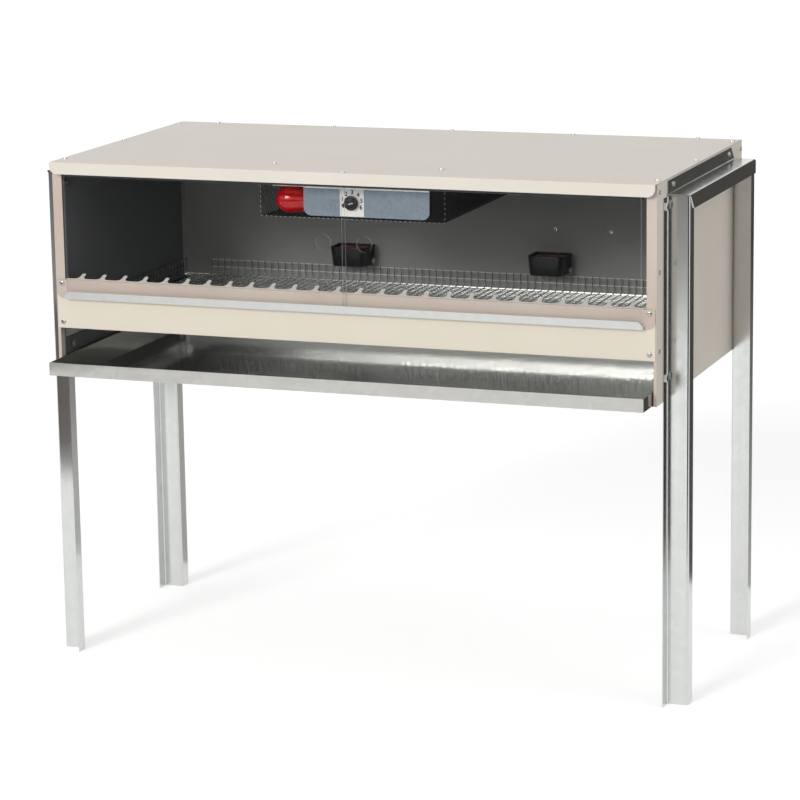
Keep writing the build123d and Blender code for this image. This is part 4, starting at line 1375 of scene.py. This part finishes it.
@dataclass(frozen=True)
class StudioLamp:
    """A lamp that looks at the object's foot: a broad sun, or a softbox where it has a size."""

    name: str
    at_m: tuple[float, float, float]
    energy: float
    softness_deg: float = 0.0
    size_m: tuple[float, float] | None = None

    def build(self) -> None:
        """Hang the lamp."""
        lamp = bpy.data.lights.new(self.name, "AREA" if self.size_m else "SUN")
        lamp.energy = self.energy
        if self.size_m:
            lamp.shape = "RECTANGLE"
            lamp.size, lamp.size_y = self.size_m
        else:
            lamp.angle = math.radians(self.softness_deg)
        place = Vector(self.at_m)
        look = place.to_track_quat("Z", "Y").to_matrix().to_4x4()
        add_object(self.name, lamp).matrix_world = Matrix.Translation(place) @ look


@dataclass
class Studio:
    """White studio: floor, even surround, cards, lamps and the camera."""

    floor_m: float = 60.0
    floor_tones: tuple[str, str] = ("EDEDED", "F1F1F1")
    floor_patch_mm: float = 400.0
    floor_roughness: float = 0.9
    floor_lift: float = 0.45
    surround: float = 0.5
    white: str = "FFFFFF"
    place_mm: tuple[float, float, float] = (1772.1, -4767.1, 1525.1)
    yaw_deg: float = 20.426
    pitch_deg: float = -12.313
    roll_deg: float = -0.895
    focal_px: float = 3177.1
    picture_px: float = 800.0
    sensor_mm: float = 36.0
    sight_m: float = 200.0
    cards: tuple[Card, ...] = (
        Card("front_card", (-0.24, -2.0), (9.0, 0.56), -34.5, 0.5, 0.24),
        Card("back_card", (-0.3, 0.36), (0.6, 0.8), tone="CFCDCA"),
        Card("left_front_card", (-0.82, -0.55), (0.36, 0.3), fade_m=0.06, lift_m=0.205, tone="8A807D"),
        Card("right_back_card", (1.46, 0.5), (1.6, 1.3)),
        Card("rail_card", (0.6, 0.5), (0.12, 1.3), fade_m=0.63),
        Card("right_front_card", (1.3, -1.0), (1.6, 0.8)),
    )
    lamps: tuple[StudioLamp, ...] = (
        StudioLamp("key_lamp", (-0.25, -1.0, 0.42), 1.15, softness_deg=16),
        StudioLamp("front_softbox", (-0.7, -2.6, 1.18), 4.0, size_m=(0.95, 0.45)),
        StudioLamp("fill_lamp", (-0.35, -1.0, 0.15), 0.1, softness_deg=30),
        StudioLamp("side_lamp", (1.0, -0.3, 0.3), 0.5, softness_deg=40),
    )

    def build_surround(self) -> None:
        """Light the scene evenly, and show plain white behind it."""
        world = bpy.data.worlds.new("studio_surround")
        world.use_nodes = True
        graph = Graph(world.node_tree)
        background = graph.tree.nodes["Background"].inputs
        plug(background["Color"], linear(self.white))
        plug(background["Strength"], graph.ramp(graph.background_share(), 0.0, 1.0, self.surround, 1.0))
        bpy.context.scene.world = world

    def build_floor(self) -> None:
        """Lay a pale matt floor that is lifted to white where it is looked at."""
        bm = bmesh.new()
        bmesh.ops.create_grid(bm, x_segments=1, y_segments=1, size=self.floor_m / 2)
        shading = Shading("pale_floor", Roughness=self.floor_roughness, Emission_Color=linear(self.white))
        pale = shading.blend(shading.noise(self.floor_patch_mm, detail=1.0), *self.floor_tones)
        lift = shading.calculate("MULTIPLY", shading.background_share(), self.floor_lift)
        shading.feed(Base_Color=pale, Emission_Strength=lift)
        floor = add_mesh("studio_floor", bm, shading.material)

    def build_camera(self) -> None:
        """Put the camera where the photograph was taken from."""
        yaw, pitch, roll = (math.radians(a) for a in (self.yaw_deg, self.pitch_deg, self.roll_deg))
        tilt = Matrix.Rotation(RIGHT_ANGLE + pitch, 4, "X") @ Matrix.Rotation(roll, 4, "Z")
        lens = bpy.data.cameras.new("photo_camera")
        lens.sensor_fit = "HORIZONTAL"
        lens.sensor_width = self.sensor_mm
        lens.lens = self.focal_px * self.sensor_mm / self.picture_px
        lens.clip_end = self.sight_m
        camera = add_object("photo_camera", lens)
        camera.matrix_world = (Matrix.Translation(Vector(self.place_mm) * MM)
                               @ Matrix.Rotation(yaw, 4, "Z") @ tilt)
        bpy.context.scene.camera = camera

    def build(self) -> None:
        """Set up the studio around the object."""
        bpy.context.scene.view_settings.view_transform = "Standard"
        self.build_surround()
        self.build_floor()
        for item in (*self.cards, *self.lamps):
            item.build()
        self.build_camera()


def main() -> None:
    """Build and dress the brooder, piece by piece."""
    logging.basicConfig(level=logging.INFO, format="%(name)s: %(message)s")
    for assembly in (Studio(), Shell(), Doors(), Stand(), WireFloor(), HeaterGuard(), ControlPanel(), Lamp(),
                     Drinkers(), HoseTails(), Fasteners(), CableGland()):
        LOG.info("%s", type(assembly).__name__)
        assembly.build()


if __name__ == "__main__":
    main()
